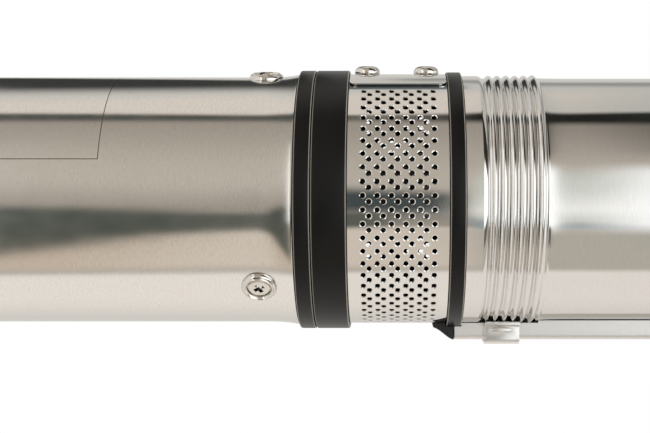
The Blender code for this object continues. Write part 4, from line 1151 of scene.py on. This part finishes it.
# The studio's panels as the pump sees them: colour, light, then the four edges in degrees. The first two are
# angles round the shaft from the camera, positive towards the picture's top. The last two are slopes along
# the shaft, up towards the head. Each edge has its place, its softness and its lean: how far it moves with
# each degree of the other kind. A later panel lies over the earlier ones.
panels = {
    "table": ("#fff9f2", 0.995, (-130.4, 62.0, -0.04), (-69.1, 4.7, 0.29), None, None),
    "front cloth": ("#fff3e4", 0.419, (-66.8, 6.2, 0.26), (86.1, 3.2, -0.05), None, None),
    "lit cloth": ("#fff5e7", 0.608, (-4.9, 28.2, -0.6), (49.6, 60.6, -0.16), None, None),
    "lower card": ("#fff3e4", 0.793, (-65.9, 15.3, 0.1), (-24.0, 4.9, -0.3), None, None),
    "lower card, top end":
        ("#fff9eb", 0.574, (-69.2, 6.6, -0.01), (-25.9, 5.3, -0.01), (1.9, 8.0, -0.05), None),
    "lower card, foot end": ("#ffecd7", 0.673, (-67.7, 8.0, 0.02), (-26.8, 5.0, 0), None, (-7.7, 11.1, 0.1)),
    "window": ("#fbfff7", 0.777, (-18.8, 6.1, -0.34), (17.4, 19.8, 0.83), (4.4, 3.4, 0.01), None),
    "window's middle": ("#fefffb", 1.31, (-11.1, 12.7, -0.22), (7.5, 26.4, 0.66), (11.3, 21.3, 0.55), None),
    "blue edge": ("#ebfdff", 0.457, (-25.5, 4.0, -0.16), (-11.7, 6.4, -1.13), (0.2, 1.6, -0.18), None),
    "camera": ("#e2fbff", 0.089, (-13.3, 16.6, -0.3), (7.8, 12.0, -0.74), (-4.0, 2.0, 0), (3.0, 1.8, 0.01)),
    "near gap": ("#f8ffee", 0.14, (-24.2, 6.9, 0.59), (-12.1, 4.4, 0.05), (-26, 6, 0), (0.0, 2.0, 0)),
    "near gap, foot end":
        ("#efffec", 0.095, (-4.7, 13.0, 2.29), (-12.1, 9.2, -0.28), (-26, 6, 0), (-12.5, 5.0, -0.11)),
    "upper card": ("#fff6ec", 0.848, (82.7, 3.5, -0.26), (113.9, 16.2, 0.5), None, None),
    "upper card, top end": ("#fffef6", 0.635, (85.3, 5.9, 0.03), (131.6, 10.0, 0.1), (-2.1, 9.7, 0.1), None),
    "upper gap": ("#f6fff4", 0.087, (76.2, 6.9, -0.05), (81.3, 2.7, -0.24), None, (4.8, 3.8, -0.08)),
    "upper gap, top end":
        ("#f1fff1", 0.017, (74.9, 8.2, -0.05), (83.2, 6.0, 0.47), (-0.7, 10.2, 0.01), (20, 6, 0)),
    "top gap": ("#f8fff8", 0.05, (126.1, 21.2, 0.33), (142.0, 8.9, -1.18), (-22, 6, 0), (-3.2, 1.5, 0)),
    "top gap, intake": ("#e1f5ff", 0.156, (121.5, 4.0, 0), (130.5, 3.0, 0), (-3.2, 1.5, 0), (3.2, 1.8, 0)),
    "top line": ("#fdfffa", 0.374, (136.5, 12.6, -0.32), (144.7, 9.8, 0.08), (0.0, 3.0, 0), None),
    "head end window": ("#fcfeff", 1.455, (-25.4, 14.2, -0.22), (33.0, 12.5, -0.28), (10.9, 5.4, 0.02), None),
    "head end shade above":
        ("#fcffee", 0.034, (41.0, 14.9, -0.11), (86.9, 4.9, -0.08), (17.6, 12.8, -0.08), None),
    "head end shade below": ("#fff9f2", 0.18, (-46.0, 8.0, 0), (-27.0, 5.0, 0), (14.0, 6.0, -0.03), None),
    "foot end window": ("#fefffe", 1.82, (-22, 8, 0), (54, 10, 0), None, (-27, 6, 0)),
    "foot end gap": ("#fffaf1", 0.25, (54, 6, 0), (66, 6, 0), None, (-34, 10, 0)),
    "foot end card": ("#fffbf6", 0.85, (66, 6, 0), (100, 6, 0), None, (-34, 10, 0)),
    "head end lamp": ("#fefffe", 1.82, (-20, 8, 0), (36, 10, 0), (24, 6, 0), None),
    "head end cloth": ("#fffffd", 1.2, (-200, 2, 0), (200, 2, 0), (70, 8, 0), None),
    "foot end cloth": ("#fffffd", 1.2, (-200, 2, 0), (200, 2, 0), None, (-70, 8, 0)),
}
room_colour, room_light = "#fffdf7", 0.707


def toned(code, light):
    """A colour at a panel's brightness."""
    return [c * light for c in colour(code)[:3]] + [1.0]


def make_world():
    """White for the camera. For everything else the studio's panels, with the dark gaps between them."""
    world = bpy.data.worlds.new("studio")
    bpy.context.scene.world = world
    world.use_nodes = True
    world.node_tree.nodes.clear()
    node = partial(add, world.node_tree)
    degrees = 180 / math.pi
    x, y, z = node(SPLIT, node("ShaderNodeTexCoord").outputs["Generated"]).outputs
    away = [node(MATHS, part, -1.0, operation="MULTIPLY") for part in (x, y)]
    angle = node(MATHS, node(MATHS, *away, operation="ARCTAN2"), degrees, operation="MULTIPLY")
    slope_up = node(MATHS, node(MATHS, z, operation="ARCSINE"), degrees, operation="MULTIPLY")
    light = toned(room_colour, room_light)
    for name, (code, strength, *edges) in panels.items():
        share = 1.0
        for edge, (value, other, sign) in zip(
            edges, ((angle, slope_up, 1), (angle, slope_up, -1), (slope_up, angle, 1), (slope_up, angle, -1))
        ):
            if edge is None:
                continue
            place, soft, lean = edge
            if lean:
                leaned = node(MATHS, other, lean, operation="MULTIPLY")
                value = node(MATHS, value, leaned, operation="SUBTRACT")
            start, end = place - sign * soft / 2, place + sign * soft / 2
            inside = node(RANGE, value, start, end, interpolation_type="SMOOTHSTEP")
            share = node(MATHS, share, inside, operation="MULTIPLY")
        light = node(MIX, share, light, toned(code, strength), data_type="RGBA", label=name)
    seen = node("ShaderNodeLightPath").outputs["Is Camera Ray"]
    shown = node(MIX, seen, light, colour("#ffffff"), data_type="RGBA")
    node("ShaderNodeOutputWorld", {"Surface": node("ShaderNodeBackground", {"Color": shown})})


def placed(name, data):
    """A lamp or a camera in the scene."""
    made = bpy.data.objects.new(name, data)
    bpy.context.scene.collection.objects.link(made)
    return made


def make_lamp(name, spot, aim, size, power):
    """A round soft lamp, left out of the reflections."""
    data = bpy.data.lights.new(name, "AREA")
    data.shape = "DISK"
    data.size = size
    data.energy = power
    lamp = placed(name, data)
    lamp.visible_glossy = False
    lamp.location = spot
    lamp.rotation_euler = (Vector(aim) - Vector(spot)).to_track_quat("-Z", "Y").to_euler()


def make_camera():
    """The photograph's camera: square to the shaft, level with the intake, a little off the middle."""
    data = bpy.data.cameras.new("camera")
    data.sensor_width = 36
    data.lens = 67.18
    data.shift_x = -0.105
    data.shift_y = -0.0263
    camera = placed("camera", data)
    right, up, back = Vector((0, 0, 1)), Vector((-1, 0, 0)), Vector((0, -1, 0))
    turn = Matrix((right, up, back)).transposed().to_4x4()
    camera.matrix_world = Matrix.Translation((0, -464.6 * MM, camera_height)) @ turn
    bpy.context.scene.camera = camera


make_floor()
make_world()
make_lamp("key", spot=(-0.6, -0.9, 1.3), aim=(0, 0, 0.3), size=0.9, power=9)
make_camera()
bpy.context.scene.view_settings.view_transform = "Standard"
